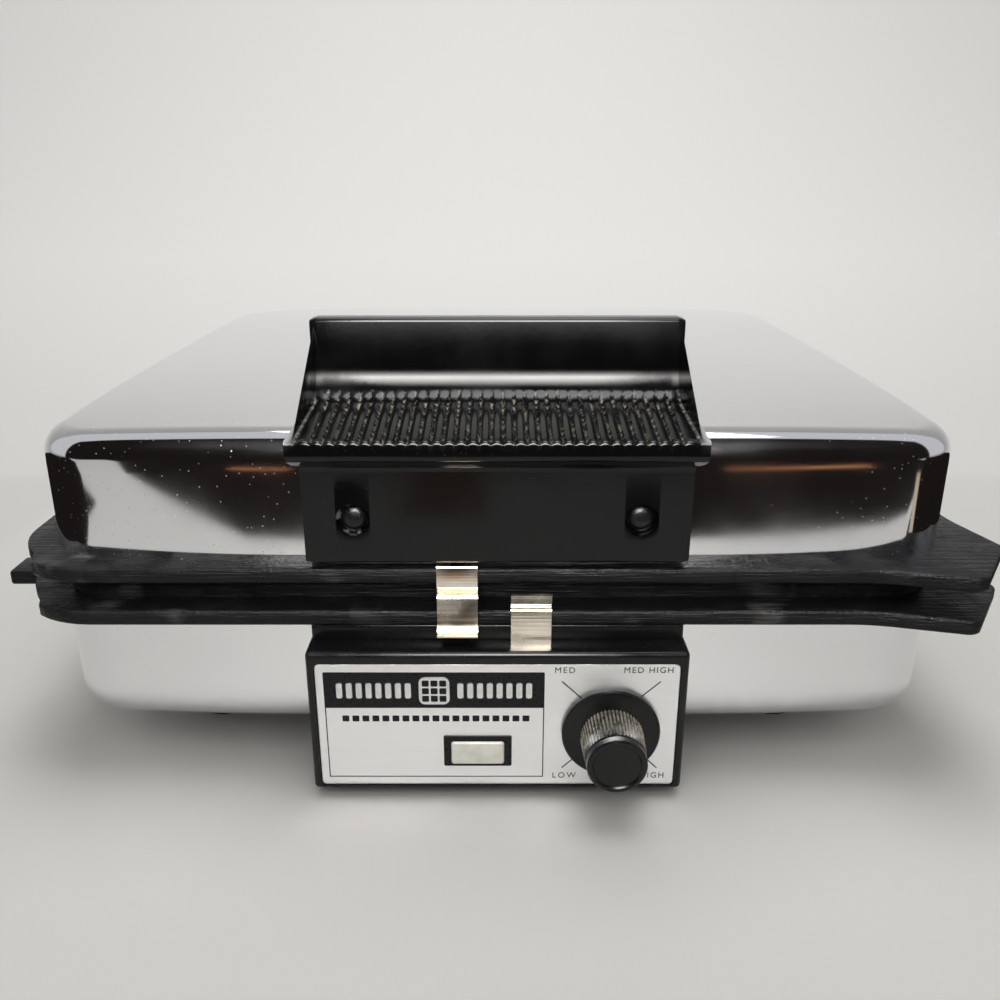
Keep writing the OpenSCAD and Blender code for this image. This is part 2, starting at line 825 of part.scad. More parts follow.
module base_wiring() {
    x = inlet_x - inlet_depth - 7;
    z = base_gap + 8;
    color("#c9b48a") {
        // inlet to thermostat
        lead([
            [x - 1.2, inlet_y - inlet_pitch / 2, inlet_z],
            [x - 1.2, inlet_y - inlet_pitch / 2, z],
            [x - 1.2, front_y + 30, z],
            [knob_x + 18.5, front_y + 24, z]], lead_d);
        // inlet to heating rod
        lead([
            [x - 1.2, inlet_y + inlet_pitch / 2, inlet_z],
            [x - 1.2, inlet_y + inlet_pitch / 2, base_tray_z + rod_rise + rod_d],
            [x - 1.2, tray_y + lead_gap / 2, base_tray_z + rod_rise + rod_d]], lead_d);
    }
}

module lower_clip() {
    z0 = lower_rivet_z;
    top = base_top + flange_t;
    color("#cfc6b2")
        difference() {
            along_x(lower_clip_x, clip_w)
                strip([
                    [clip_foot_y, z0 - 3], [clip_foot_y, z0 + 4], [clip_y, z0 + 7], [clip_y, top + 0.9],
                    [clip_y + hook, top + 1.6], [clip_y - 0.6, top + 3.6], [clip_y - 2.6, top + 8.2],
                    [clip_y - 3.9, top + 8.4]], clip_t);
            rod_y(lower_clip_x, z0, clip_foot_y - 2, clip_foot_y + 2, rivet_r + 0.3);
        }
}

module clip_rivet(x, z, y_in) {
    rod_y(x, z, clip_foot_y - 1, y_in, rivet_r);
    rod_y(x, z, clip_foot_y - 2, clip_foot_y - 1, rivet_head_r);
    rod_y(x, z, y_in, y_in + 0.8, rivet_head_r);
}

module lower_clip_rivet() {
    color("#b5ad9b")
        clip_rivet(lower_clip_x, lower_rivet_z, front_y + shell_wall + 0.05);
}

// ---- floating hinge ----

module hinge_carrier() {
    color("#a9abad")
        for (s = [-1, 1])
            difference() {
                union() {
                    translate([s * (leg_in + leg_w / 2) - leg_w / 2, hinge_y - leg_t / 2, hinge_housing_z[0] + 3.3])
                        cube([leg_w, leg_t, hinge_z - hinge_housing_z[0] - 3.3]);
                    rod_x(hinge_y, hinge_z, s > 0 ? leg_in : -leg_in - leg_w, s > 0 ? leg_in + leg_w : -leg_in,
                        knuckle_r);
                    translate([s > 0 ? -0.5 : -leg_in - 1, hinge_y - leg_t / 2, strap_z])
                        cube([leg_in + 1.5, leg_t, strap_h]);
                }
                rod_x(hinge_y, hinge_z, -100, 100, tube_d / 2 + 0.02);
            }
}

module hinge_tube() {
    color("#b4b6b8")
        difference() {
            union() {
                rod_x(hinge_y, hinge_z, -tube_len / 2, tube_len / 2, tube_d / 2);
                for (s = [-1, 1])
                    rod_x(hinge_y, hinge_z, s * (tube_len / 2 + 0.6) - 0.6, s * (tube_len / 2 + 0.6) + 0.6,
                        tube_d / 2 + 1.2);
            }
            rod_x(hinge_y, hinge_z, -tube_len, tube_len, tube_d / 2 - 1);
            // way out for the lid's leads, towards the lid
            translate([-10, hinge_y - tube_d, hinge_z - 1])
                cube([20, tube_d, 2.6]);
        }
}

// ---- lid ----

module lid_hinge_arms() {
    color("#a9abad")
        for (s = [-1, 1])
            difference() {
                union() {
                    along_x(s * (arm_in + leg_w / 2), leg_w)
                        polygon([
                            [rear_y + 0.2, lid_z + 1], [hinge_y - 4, lid_z + 1], [hinge_y, hinge_z],
                            [hinge_y + 4.5, hinge_z + 4], [rear_y + 3.2, lid_z + 12.8],
                            [rear_y + 3.2, lid_z + 26], [rear_y + 0.2, lid_z + 26]]);
                    rod_x(hinge_y, hinge_z, s * (arm_in + leg_w / 2) - leg_w / 2, s * (arm_in + leg_w / 2) + leg_w / 2,
                        knuckle_r);
                }
                rod_x(hinge_y, hinge_z, -100, 100, tube_d / 2 + bore_play);
                for (z = arm_rivet_z)
                    rod_y(s * (arm_in + leg_w / 2), z, rear_y - 1, rear_y + 5, 1.6);
            }
}
arm_rivet_z = [lid_z + 16, lid_z + 22.5];

module hinge_arm_rivets() {
    color("#9a9a9c")
        for (s = [-1, 1])
            for (z = arm_rivet_z) {
                x = s * (arm_in + leg_w / 2);
                rod_y(x, z, rear_y - shell_wall - 0.1, rear_y + 3.3, 1.5);
                rod_y(x, z, rear_y + 3.3, rear_y + 4.5, 2.8);
                rod_y(x, z, rear_y - shell_wall - 1.1, rear_y - shell_wall - 0.1, 2.8);
            }
}

module lid_shell() {
    color("#c9ccd0")
        difference() {
            translate([0, mid_y, lid_z])
                pressed_shell(shell_w, shell_d, shell_corner_r, lid_h, lid_edge_r, lid_dome, shell_wall);
            for (s = [-1, 1])
                rod_y(s * handle_screw_pitch / 2, handle_screw_z, front_y - 2, front_y + 2, 2.3);
            rod_y(-upper_clip_x, upper_rivet_z, front_y - 2, front_y + 2, rivet_r + 0.05);
            for (s = [-1, 1])
                for (z = arm_rivet_z)
                    rod_y(s * (arm_in + leg_w / 2), z, rear_y - 2, rear_y + 2, 1.6);
            translate([-6, rear_y - 2, lid_lead_z - 2])
                cube([12, 4, 4]);
        }
}

module lid_reflector() {
    color("#b9babc")
        translate([0, tray_y, lid_tray_z])
            mirror([0, 0, 1])
                heat_tray();
}

module lid_element() {
    color("#6a6a6e")
        translate([0, tray_y, lid_tray_z - rod_rise])
            heat_rod();
}

module lid_element_clips() {
    color("#d8d2c0")
        translate([0, tray_y, lid_tray_z])
            mirror([0, 0, 1])
                rod_saddles();
}

// Height of the handle's underside above the lid at a distance behind the front plane
function seat_z(inset) = lid_edge_z + handle_fit
    + crown(lid_dome, inset - lid_edge_r, min(shell_w, shell_d) / 2 - lid_edge_r);

// Outline of the handle in Y and Z, from the foot of its back face round the outside
module handle_outline() {
    seat_r = lid_edge_r + handle_fit;
    polygon(concat(
        [[front_y - handle_fit, handle_z], [front_y - handle_plate_t - handle_fit, handle_z]],
        [[front_y - handle_plate_t - handle_fit, plate_top], [front_y - ledge_reach, ledge_low]],
        [[front_y - ledge_reach, ledge_high]],
        // ledge top, then a hollow fillet up into the wall
        [for (a = [0:15:90])
            [wall_front - 3.5 * (1 - sin(a)), ledge_high + 5 + 4 * (1 - cos(a))]],
        [for (a = [0:30:90])
            [wall_front + 1 + 2 * (1 - cos(a)), handle_top - 2 + 2 * sin(a)]],
        [for (a = [90:-30:0])
            [wall_back - 2 + 2 * cos(a), handle_top - 2 + 2 * sin(a)]],
        [for (y = [29, 23, 17, 11])
            [front_y + y, seat_z(y)]],
        [for (a = [85:-17:0])
            [front_y + lid_edge_r - seat_r * cos(a), lid_edge_z - lid_edge_r + seat_r * sin(a)]]));
}

module front_handle() {
    color("#131214")
        difference() {
            union() {
                along_x(0, handle_w)
                    handle_outline();
                // thumb ledge, wider at its front
                intersection() {
                    along_x(0, handle_w + 2 * ledge_flare)
                        polygon([
                            [front_y - ledge_reach, ledge_low], [front_y - ledge_reach, ledge_high],
                            [wall_front - 4, ledge_high + 4.9], [wall_front - 4, ledge_high + 2],
                            [front_y, ledge_low + 3]]);
                    translate([0, 0, ledge_low - 2])
                        linear_extrude(20)
                            polygon([
                                [-handle_w / 2 - ledge_flare, front_y - ledge_reach],
                                [handle_w / 2 + ledge_flare, front_y - ledge_reach],
                                [handle_w / 2, wall_front], [-handle_w / 2, wall_front]]);
                }
            }
            for (s = [-1, 1]) {
                rod_y(s * handle_screw_pitch / 2, handle_screw_z, front_y - 20, front_y - 5.2, 5.15);
                rod_y(s * handle_screw_pitch / 2, handle_screw_z, front_y - 20, front_y + 1, 2.3);
            }
            // pocket for the foot of the upper clip
            translate([-upper_clip_x - clip_w / 2 - clip_play, front_y - 4.2, handle_z - 1])
                cube([clip_w + 2 * clip_play, 5, upper_rivet_z + 5.6 - handle_z]);
        }
}

module handle_screws() {
    color("#a6a49e")
        for (s = [-1, 1])
            screw_y(s * handle_screw_pitch / 2, handle_screw_z, front_y - 5.2, 1, 10, 4, 2.2, 2);
}

module handle_bracket() {
    color("#a9abad")
        difference() {
            translate([-handle_screw_pitch / 2 - 8, front_y + shell_wall, handle_screw_z - 6])
                cube([handle_screw_pitch + 16, 2.2, 12]);
            for (s = [-1, 1])
                rod_y(s * handle_screw_pitch / 2, handle_screw_z, front_y, front_y + 5, 2.03);
        }
}

module upper_clip() {
    z0 = upper_rivet_z;
    low = lid_z - flange_t;
    color("#cfc6b2")
        difference() {
            along_x(-upper_clip_x, clip_w)
                strip([
                    [clip_foot_y, z0 + 4], [clip_foot_y, lid_z + 1.6], [clip_y - 0.2, lid_z + 1.4],
                    [clip_y - 0.2, low - 1], [clip_y + hook, low - 1.6], [clip_y - 0.6, low - 3.6],
                    [clip_y - 1.4, low - 12.5], [clip_y - 2.6, low - 15.3], [clip_y - 4.2, low - 15.3]], clip_t);
            rod_y(-upper_clip_x, z0, clip_foot_y - 2, clip_foot_y + 2, rivet_r + 0.3);
        }
}

module upper_clip_rivet() {
    color("#b5ad9b")
        clip_rivet(-upper_clip_x, upper_rivet_z, front_y + shell_wall + 0.05);
}

// Collar on the hinge tube, where the leads leave it for the lid
module lead_collar() {
    color("#161517")
        difference() {
            rod_x(hinge_y, hinge_z, -9, 9, collar_r);
            rod_x(hinge_y, hinge_z, -10, 10, tube_d / 2 + bore_play);
        }
}

module lid_wiring() {
    color("#c9b48a")
        for (s = [-1, 1]) {
            z = lid_tray_z + 5.5 - s * 2;
            lead([
                [s * 3, hinge_y - 3.5, hinge_z + collar_r + 0.6],
                [s * 3, rear_y + 3, lid_lead_z],
                [s * 3, rear_y - 8, lid_lead_z],
                [s * 3, rear_y - 8, z],
                [tray_w / 2 + 6, rear_y - 9, z],
                [tray_w / 2 + 6, tray_y + s * lead_gap / 2, z],
                [tray_w / 2 + 6, tray_y + s * lead_gap / 2, lid_tray_z - rod_rise + rod_d / 2 + 0.2]], lead_d);
        }
}

base_shell();
base_reflector();
base_element();
base_element_clips();
lower_grid();
lower_grid_catches();
control_housing();
housing_screws();
face_plate();
lamp_lens();
signal_lamp();
thermostat();
thermostat_shaft();
control_knob();
feet();
foot_screws();
foot_nuts();
inlet_housing();
inlet_pins();
rear_hinge_housing();
hinge_housing_screws();
base_wiring();
lower_clip();
lower_clip_rivet();
hinge_carrier();
hinge_tube();
lid_hinge_arms();
hinge_arm_rivets();
lid_shell();
lid_reflector();
lid_element();
lid_element_clips();
upper_grid();
upper_grid_catches();
front_handle();
handle_screws();
handle_bracket();
upper_clip();
upper_clip_rivet();
lead_collar();
lid_wiring();
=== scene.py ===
import json
import math
import bmesh
import bpy
from mathutils import Matrix, Vector


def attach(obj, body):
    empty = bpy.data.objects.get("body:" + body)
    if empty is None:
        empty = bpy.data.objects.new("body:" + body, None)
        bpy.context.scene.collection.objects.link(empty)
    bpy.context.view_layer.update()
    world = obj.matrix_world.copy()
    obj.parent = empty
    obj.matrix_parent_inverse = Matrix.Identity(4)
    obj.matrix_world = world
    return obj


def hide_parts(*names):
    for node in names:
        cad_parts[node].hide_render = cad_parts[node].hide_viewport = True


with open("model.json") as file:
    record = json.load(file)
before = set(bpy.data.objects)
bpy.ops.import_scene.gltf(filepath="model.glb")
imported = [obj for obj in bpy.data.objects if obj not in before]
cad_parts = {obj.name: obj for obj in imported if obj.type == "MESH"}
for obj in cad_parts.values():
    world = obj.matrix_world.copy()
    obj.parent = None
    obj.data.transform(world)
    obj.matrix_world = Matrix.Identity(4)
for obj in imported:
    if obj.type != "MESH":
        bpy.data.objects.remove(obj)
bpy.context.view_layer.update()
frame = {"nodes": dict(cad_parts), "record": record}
nodes = frame["nodes"]
mm = 0.001
print("frame loaded:", len(nodes), "nodes")


# pieces are drawn in millimetres and scaled to metres as they are stored

def roundedFace(bm, x0, x1, y0, y1, z, radius, steps=8, up=True):
    before = set(bm.faces)
    verts = bmesh.ops.create_grid(bm, x_segments=1, y_segments=1, size=0.5)["verts"]
    bmesh.ops.scale(bm, vec=(x1 - x0, y1 - y0, 1), verts=verts)
    bmesh.ops.translate(bm, vec=((x0 + x1) / 2, (y0 + y1) / 2, z), verts=verts)
    if radius > 0:
        bmesh.ops.bevel(bm, geom=verts, offset=radius, segments=steps, profile=0.5,
                        affect="VERTICES", material=-1)
    return facing([f for f in bm.faces if f not in before][0], bm, up)


def facing(face, bm, up):
    face.normal_update()
    if (face.normal.z > 0) != up:
        bmesh.ops.reverse_faces(bm, faces=[face])
        face.normal_update()
    return face


def stepIn(bm, face, inward, along):
    bmesh.ops.inset_individual(bm, faces=[face], thickness=inward, depth=along, use_even_offset=True)
    face.normal_update()
    return face


def roundOver(bm, face, radius, steps=6):  # quarter round from a wall to its flat end
    for i in range(steps):
        a = math.radians(90 * i / steps)
        b = math.radians(90 * (i + 1) / steps)
        stepIn(bm, face, radius * (math.cos(a) - math.cos(b)), radius * (math.sin(b) - math.sin(a)))
    return face


def box(bm, x0, x1, y0, y1, z0, z1, radius=0, steps=2):
    before = set(bm.verts)
    verts = bmesh.ops.create_cube(bm, size=1)["verts"]
    bmesh.ops.scale(bm, vec=(x1 - x0, y1 - y0, z1 - z0), verts=verts)
    bmesh.ops.translate(bm, vec=((x0 + x1) / 2, (y0 + y1) / 2, (z0 + z1) / 2), verts=verts)
    if radius > 0:
        edges = list({e for v in verts for e in v.link_edges})
        bmesh.ops.bevel(bm, geom=edges, offset=radius, segments=steps, profile=0.5,
                        affect="EDGES", material=-1)
    return [v for v in bm.verts if v not in before]


def outline(bm, points, rounds=()):  # flat face from a few corners, some of them rounded
    before = set(bm.faces)
    verts = [bm.verts.new(p) for p in points]
    bm.faces.new(verts)
    for index, radius, steps in rounds:
        bmesh.ops.bevel(bm, geom=[verts[index]], offset=radius, segments=steps, profile=0.5,
                        affect="VERTICES", material=-1)
    return [f for f in bm.faces if f not in before][0]


def extrude(bm, faces, move):
    made = bmesh.ops.extrude_face_region(bm, geom=faces)["geom"]
    verts = [g for g in made if isinstance(g, bmesh.types.BMVert)]
    bmesh.ops.translate(bm, vec=move, verts=verts)
    return [g for g in made if isinstance(g, bmesh.types.BMFace)]


def turned(bm, profile, place, steps=64):  # profile is (radius, height) pairs
    before = set(bm.verts)
    verts = [bm.verts.new((r, 0, h)) for r, h in profile]
    edges = [bm.edges.new(pair) for pair in zip(verts, verts[1:])]
    bmesh.ops.spin(bm, geom=verts + edges, cent=(0, 0, 0), axis=(0, 0, 1), angle=math.tau,
                   steps=steps, use_merge=True)
    made = [v for v in bm.verts if v not in before]
    bmesh.ops.transform(bm, matrix=place, verts=made)
    return made


def forward(x, y, z):  # a turned part's height runs out of the front, towards -Y
    return Matrix.Translation((x, y, z)) @ Matrix.Rotation(math.radians(90), 4, "X")


def strip(bm, path, x0, x1, thick, bend=0.8):  # bent flat spring, its path in Y and Z
    verts = [bm.verts.new((x0, y, z)) for y, z in path]
    edges = [bm.edges.new(pair) for pair in zip(verts, verts[1:])]
    bmesh.ops.bevel(bm, geom=verts[1:-1], offset=bend, segments=4, profile=0.5,
                    affect="VERTICES", material=-1)
    made = bmesh.ops.extrude_edge_only(bm, edges=bm.edges[:])["geom"]
    bmesh.ops.translate(bm, vec=(x1 - x0, 0, 0),
                        verts=[g for g in made if isinstance(g, bmesh.types.BMVert)])
    bmesh.ops.recalc_face_normals(bm, faces=bm.faces)
    bmesh.ops.solidify(bm, geom=bm.faces[:], thickness=thick)


def asMesh(bm, name, sharp=32, fix=True):
    bmesh.ops.remove_doubles(bm, verts=bm.verts, dist=0.0005)
    if fix:
        bmesh.ops.recalc_face_normals(bm, faces=bm.faces)
    bmesh.ops.scale(bm, vec=(mm, mm, mm), verts=bm.verts)
    mesh = bpy.data.meshes.new(name)
    bm.to_mesh(mesh)
    bm.free()
    mesh.shade_smooth()
    mesh.set_sharp_from_angle(angle=math.radians(sharp))
    return mesh


def store(name, mesh, body, finishes, stands=()):
    piece = bpy.data.objects.new(name, mesh)
    bpy.context.scene.collection.objects.link(piece)
    for finish in finishes:
        mesh.materials.append(finish)
    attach(piece, body)
    if stands:
        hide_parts(*stands)
    return piece


def cut(mesh, cutters, name):  # takes the cutters' bmesh away from a mesh
    tool = bpy.data.objects.new("tool", asMesh(cutters, "tool"))
    work = bpy.data.objects.new("work", mesh)
    for each in (tool, work):
        bpy.context.scene.collection.objects.link(each)
    less = work.modifiers.new("less", "BOOLEAN")
    less.operation = "DIFFERENCE"
    less.solver = "EXACT"
    less.object = tool
    bpy.context.view_layer.update()
    made = bpy.data.meshes.new_from_object(work.evaluated_get(bpy.context.evaluated_depsgraph_get()))
    made.name = name
    made.shade_smooth()
    made.set_sharp_from_angle(angle=math.radians(30))
    bpy.data.objects.remove(work)
    bpy.data.objects.remove(tool)
    return made


# finishes

def newFinish(name, colour, metal=0.0, rough=0.5, ior=1.5):
    mat = bpy.data.materials.new(name)
    mat.use_nodes = True
    shader = mat.node_tree.nodes["Principled BSDF"]
    shader.inputs["Base Color"].default_value = (*colour, 1)
    shader.inputs["Metallic"].default_value = metal
    shader.inputs["Roughness"].default_value = rough
    shader.inputs["IOR"].default_value = ior
    mat.diffuse_color = (*colour, 1)
    return mat, mat.node_tree, shader


def spot(tree, stretch=(1, 1, 1)):
    where = tree.nodes.new("ShaderNodeTexCoord")
    fit = tree.nodes.new("ShaderNodeMapping")
    fit.inputs["Scale"].default_value = stretch
    tree.links.new(where.outputs["Object"], fit.inputs["Vector"])
    return fit.outputs["Vector"]


def ramp(tree, value, low, high, first=0.0, last=1.0):
    fit = tree.nodes.new("ShaderNodeMapRange")
    for socket, number in (("From Min", low), ("From Max", high), ("To Min", first), ("To Max", last)):
        fit.inputs[socket].default_value = number
    tree.links.new(value, fit.inputs["Value"])
    return fit.outputs["Result"]


def grain(tree, scale, stretch=(1, 1, 1), detail=4, low=0.35, high=0.65, first=0.0, last=1.0):
    noise = tree.nodes.new("ShaderNodeTexNoise")
    noise.inputs["Scale"].default_value = scale
    noise.inputs["Detail"].default_value = detail
    tree.links.new(spot(tree, stretch), noise.inputs["Vector"])
    return ramp(tree, noise.outputs["Fac"], low, high, first, last)


def specks(tree, scale, size, stretch=(1, 1, 1)):  # 1 inside small spots
    cells = tree.nodes.new("ShaderNodeTexVoronoi")
    cells.inputs["Scale"].default_value = scale
    tree.links.new(spot(tree, stretch), cells.inputs["Vector"])
    return ramp(tree, cells.outputs["Distance"], size, size * 0.5)


def join(tree, kind, a, b):
    node = tree.nodes.new("ShaderNodeMath")
    node.operation = kind
    for socket, value in zip(node.inputs, (a, b)):
        if isinstance(value, (int, float)):
            socket.default_value = value
        else:
            tree.links.new(value, socket)
    return node.outputs["Value"]


def blendColour(tree, factor, a, b):
    mix = tree.nodes.new("ShaderNodeMix")
    mix.data_type = "RGBA"
    tree.links.new(factor, mix.inputs["Factor"])
    for socket, value in ((mix.inputs[6], a), (mix.inputs[7], b)):
        if isinstance(value, tuple):
            socket.default_value = (*value, 1)
        else:
            tree.links.new(value, socket)
    return mix.outputs[2]


def bump(tree, shader, height, strength, depth):
    node = tree.nodes.new("ShaderNodeBump")
    node.inputs["Strength"].default_value = strength
    node.inputs["Distance"].default_value = depth
    tree.links.new(height, node.inputs["Height"])
    tree.links.new(node.outputs["Normal"], shader.inputs["Normal"])


def attribute(tree, name):
    node = tree.nodes.new("ShaderNodeAttribute")
    node.attribute_name = name
    return node.outputs["Fac"]


def chromePlate():
    mat, tree, shader = newFinish("chromePlate", (0.83, 0.83, 0.85), 1.0, 0.06)
    patch = grain(tree, 14, detail=3, low=0.42, high=0.75)
    dots = join(tree, "MULTIPLY", specks(tree, 520, 0.12), patch)
    nicks = join(tree, "MULTIPLY", specks(tree, 90, 0.035, (1, 1, 5)), grain(tree, 25, low=0.5, high=0.6))
    marks = join(tree, "MAXIMUM", dots, nicks)
    tree.links.new(blendColour(tree, marks, (0.83, 0.83, 0.85), (0.95, 0.94, 0.9)), shader.inputs["Base Color"])
    haze = grain(tree, 30, detail=5, low=0.3, high=0.8, first=0.045, last=0.13)
    tree.links.new(join(tree, "ADD", haze, join(tree, "MULTIPLY", marks, 0.5)), shader.inputs["Roughness"])
    bump(tree, shader, grain(tree, 9, detail=1, low=0.2, high=0.8), 0.25, 0.0006)
    return mat


def castCoating():
    mat, tree, shader = newFinish("castCoating", (0.008, 0.008, 0.009), 0.0, 0.4)
    shader.inputs["Specular IOR Level"].default_value = 0.16
    filed = grain(tree, 1, (50, 700, 1500), detail=4, low=0.35, high=0.65)
    rough = grain(tree, 700, detail=3)
    worn = grain(tree, 35, detail=5, low=0.62, high=0.72)
    tree.links.new(blendColour(tree, join(tree, "MULTIPLY", worn, filed), (0.008, 0.008, 0.009), (0.10, 0.095, 0.09)),
                   shader.inputs["Base Color"])
    tree.links.new(grain(tree, 120, detail=4, first=0.28, last=0.5), shader.inputs["Roughness"])
    bump(tree, shader, join(tree, "ADD", filed, join(tree, "MULTIPLY", rough, 0.5)), 0.45, 0.00035)
    return mat


def phenolic(name, colour, rough, dust, patchy=(0.42, 0.62)):
    mat, tree, shader = newFinish(name, colour, 0.0, rough, 1.54)
    shader.inputs["Specular IOR Level"].default_value = 0.24
    patches = grain(tree, 520, detail=6, low=patchy[0], high=patchy[1])
    soil = join(tree, "MULTIPLY", attribute(tree, "residue"), patches)
    flecks = join(tree, "MULTIPLY", specks(tree, 640, 0.10), grain(tree, 30, low=0.5, high=0.75, last=dust))
    marks = join(tree, "MAXIMUM", soil, flecks)
    soiled = blendColour(tree, attribute(tree, "dull"), colour, (0.34, 0.34, 0.33))
    tree.links.new(blendColour(tree, marks, soiled, (0.46, 0.42, 0.33)), shader.inputs["Base Color"])
    wear = grain(tree, 60, detail=4, first=rough * 0.8, last=rough * 1.5)
    tree.links.new(join(tree, "ADD", wear, join(tree, "MULTIPLY", marks, 0.5)), shader.inputs["Roughness"])
    bump(tree, shader, grain(tree, 500, detail=3), 0.02, 0.0002)
    return mat


def brushedPlate():
    mat, tree, shader = newFinish("brushedPlate", (0.80, 0.80, 0.81), 1.0, 0.34)
    lines = grain(tree, 1, (60, 4000, 9000), detail=3, low=0.25, high=0.75)
    tree.links.new(blendColour(tree, lines, (0.80, 0.80, 0.81), (0.88, 0.88, 0.89)), shader.inputs["Base Color"])
    tree.links.new(ramp(tree, lines, 0, 1, 0.28, 0.44), shader.inputs["Roughness"])
    bump(tree, shader, lines, 0.12, 0.0001)
    return mat


def plain(name, colour, metal, rough, scale=300, change=0.25, height=0.1, stretch=(1, 1, 1)):
    mat, tree, shader = newFinish(name, colour, metal, rough)
    tone = grain(tree, scale, stretch, detail=4)
    darker = tuple(c * (1 - change) for c in colour)
    tree.links.new(blendColour(tree, tone, darker, colour), shader.inputs["Base Color"])
    tree.links.new(ramp(tree, tone, 0, 1, rough * 1.2, rough * 0.85), shader.inputs["Roughness"])
    bump(tree, shader, tone, height, 0.0002)
    return mat


def springNickel():
    mat, tree, shader = newFinish("springNickel", (0.80, 0.74, 0.63), 1.0, 0.2)
    lines = grain(tree, 1, (30, 1500, 1500), detail=3)
    tree.links.new(blendColour(tree, lines, (0.66, 0.59, 0.49), (0.88, 0.83, 0.73)), shader.inputs["Base Color"])
    tree.links.new(grain(tree, 90, detail=4, first=0.13, last=0.3), shader.inputs["Roughness"])
    bump(tree, shader, lines, 0.08, 0.0001)
    return mat


chrome = chromePlate()
coating = castCoating()
glossBlack = phenolic("handleBlack", (0.0045, 0.0045, 0.005), 0.12, 0.3, (0.47, 0.66))
housingBlack = phenolic("housingBlack", (0.007, 0.007, 0.0075), 0.22, 0.6)
knobBlack = phenolic("knobBlack", (0.006, 0.006, 0.006), 0.17, 0.1, (0.3, 0.55))
brushed = brushedPlate()
printBlack = plain("printBlack", (0.007, 0.007, 0.008), 0.0, 0.3, 900, 0.2, 0.05)
printBlack.node_tree.nodes["Principled BSDF"].inputs["Specular IOR Level"].default_value = 0.2
printSilver = plain("printSilver", (0.75, 0.75, 0.75), 0.9, 0.35, 900, 0.1, 0.05)
cream = plain("creamLens", (0.74, 0.72, 0.63), 0.0, 0.3, 260, 0.16, 0.05)
nickel = springNickel()
finishBySlot = {
    "chrome_shell": chrome,
    "grid_coating": coating,
    "black_moulding": housingBlack,
    "face_metal": brushed,
    "lens_cream": cream,
    "clip_nickel": nickel,
    "lamp_glass": plain("lampGlass", (0.75, 0.34, 0.12), 0.0, 0.15, 200, 0.2, 0.02),
    "bright_tray": plain("aluminisedTray", (0.62, 0.62, 0.63), 1.0, 0.35, 120, 0.2, 0.15),
    "heating_rod": plain("heatingRod", (0.10, 0.09, 0.085), 0.6, 0.5, 400, 0.4, 0.2),
    "ceramic": plain("ceramic", (0.78, 0.75, 0.68), 0.0, 0.6, 300, 0.1, 0.1),
    "hardware_steel": plain("zincSteel", (0.50, 0.50, 0.50), 1.0, 0.38, 250, 0.3, 0.1),
    "thermostat_metal": plain("thermostatMetal", (0.55, 0.51, 0.42), 1.0, 0.4, 220, 0.25, 0.1),
    "pin_nickel": plain("pinNickel", (0.72, 0.70, 0.64), 1.0, 0.22, 300, 0.15, 0.05),
    "lead_sleeve": plain("glassSleeve", (0.62, 0.56, 0.42), 0.0, 0.8, 1400, 0.35, 0.5),
    "foot_black": plain("footRubber", (0.02, 0.02, 0.021), 0.0, 0.6, 700, 0.3, 0.3),
}
print("finishes made")


# chrome shells

shellLook = {
    "halfWidth": 146, "front": -127.2, "rear": 142.8, "corner": 18,
    "bow": 5.0, "bowFrom": 62, "wall": 0.8,
    "baseTop": 59.5, "baseFoot": 17, "baseEdge": 14,
    "lidFoot": 79.2, "lidEdge": 9, "lidTop": 121.2, "dome": 5.8, "cornerDrop": 2.4,
}


def bowBack(x, y):  # how far the front and rear walls fall back towards the corners
    look = shellLook
    reach = max(0, abs(x) - look["bowFrom"]) / (look["halfWidth"] - look["bowFrom"])
    mid = (look["front"] + look["rear"]) / 2
    side = (y - mid) / ((look["rear"] - look["front"]) / 2)
    return -look["bow"] * reach ** 2 * side * abs(side)


def pressedShell(footZ, edgeRadius, height, up):
    look = shellLook
    bm = bmesh.new()
    face = roundedFace(bm, -look["halfWidth"], look["halfWidth"], look["front"], look["rear"],
                       footZ, look["corner"], 12, up)
    long = [e for e in bm.edges if e.calc_length() > 50]
    bmesh.ops.subdivide_edges(bm, edges=long, cuts=40)
    face = bm.faces[:][0]
    for _ in range(8):
        stepIn(bm, face, 0, (height - edgeRadius) / 8)
    roundOver(bm, face, edgeRadius, 14)
    return bm, face


def lidShell():
    look = shellLook
    height = look["lidTop"] - look["lidFoot"]
    bm, face = pressedShell(look["lidFoot"], look["lidEdge"], height, True)
    middle = Vector((0, (look["front"] + look["rear"]) / 2, 0))
    for i in range(1, 26):
        stepIn(bm, face, 0, 0.001)
        share = (1 - i / 26) / (1 - (i - 1) / 26)
        bmesh.ops.scale(bm, vec=(share, share, 1), space=Matrix.Translation(-middle), verts=face.verts[:])
    bmesh.ops.poke(bm, faces=[face])
    halfX = look["halfWidth"] - look["lidEdge"]
    halfY = (look["rear"] - look["front"]) / 2 - look["lidEdge"]
    for v in bm.verts:
        rise = (v.co.z - look["lidFoot"]) / height
        inX, inY = min(1, abs(v.co.x) / halfX), min(1, abs(v.co.y - middle.y) / halfY)
        if v.co.z > look["lidTop"] - 0.05:
            v.co.z = look["lidTop"] + look["dome"] * (1 - inX ** 2.4) * (1 - inY ** 2.4)
        toCorner = max(0, abs(v.co.x) - look["bowFrom"]) / (look["halfWidth"] - look["bowFrom"])
        v.co.z -= look["cornerDrop"] * toCorner ** 2 * rise * inY ** 4
        v.co.y += bowBack(v.co.x, v.co.y)
    bmesh.ops.recalc_face_normals(bm, faces=bm.faces)
    bmesh.ops.solidify(bm, geom=bm.faces[:], thickness=look["wall"])
    return asMesh(bm, "lid_chrome", 40, False)


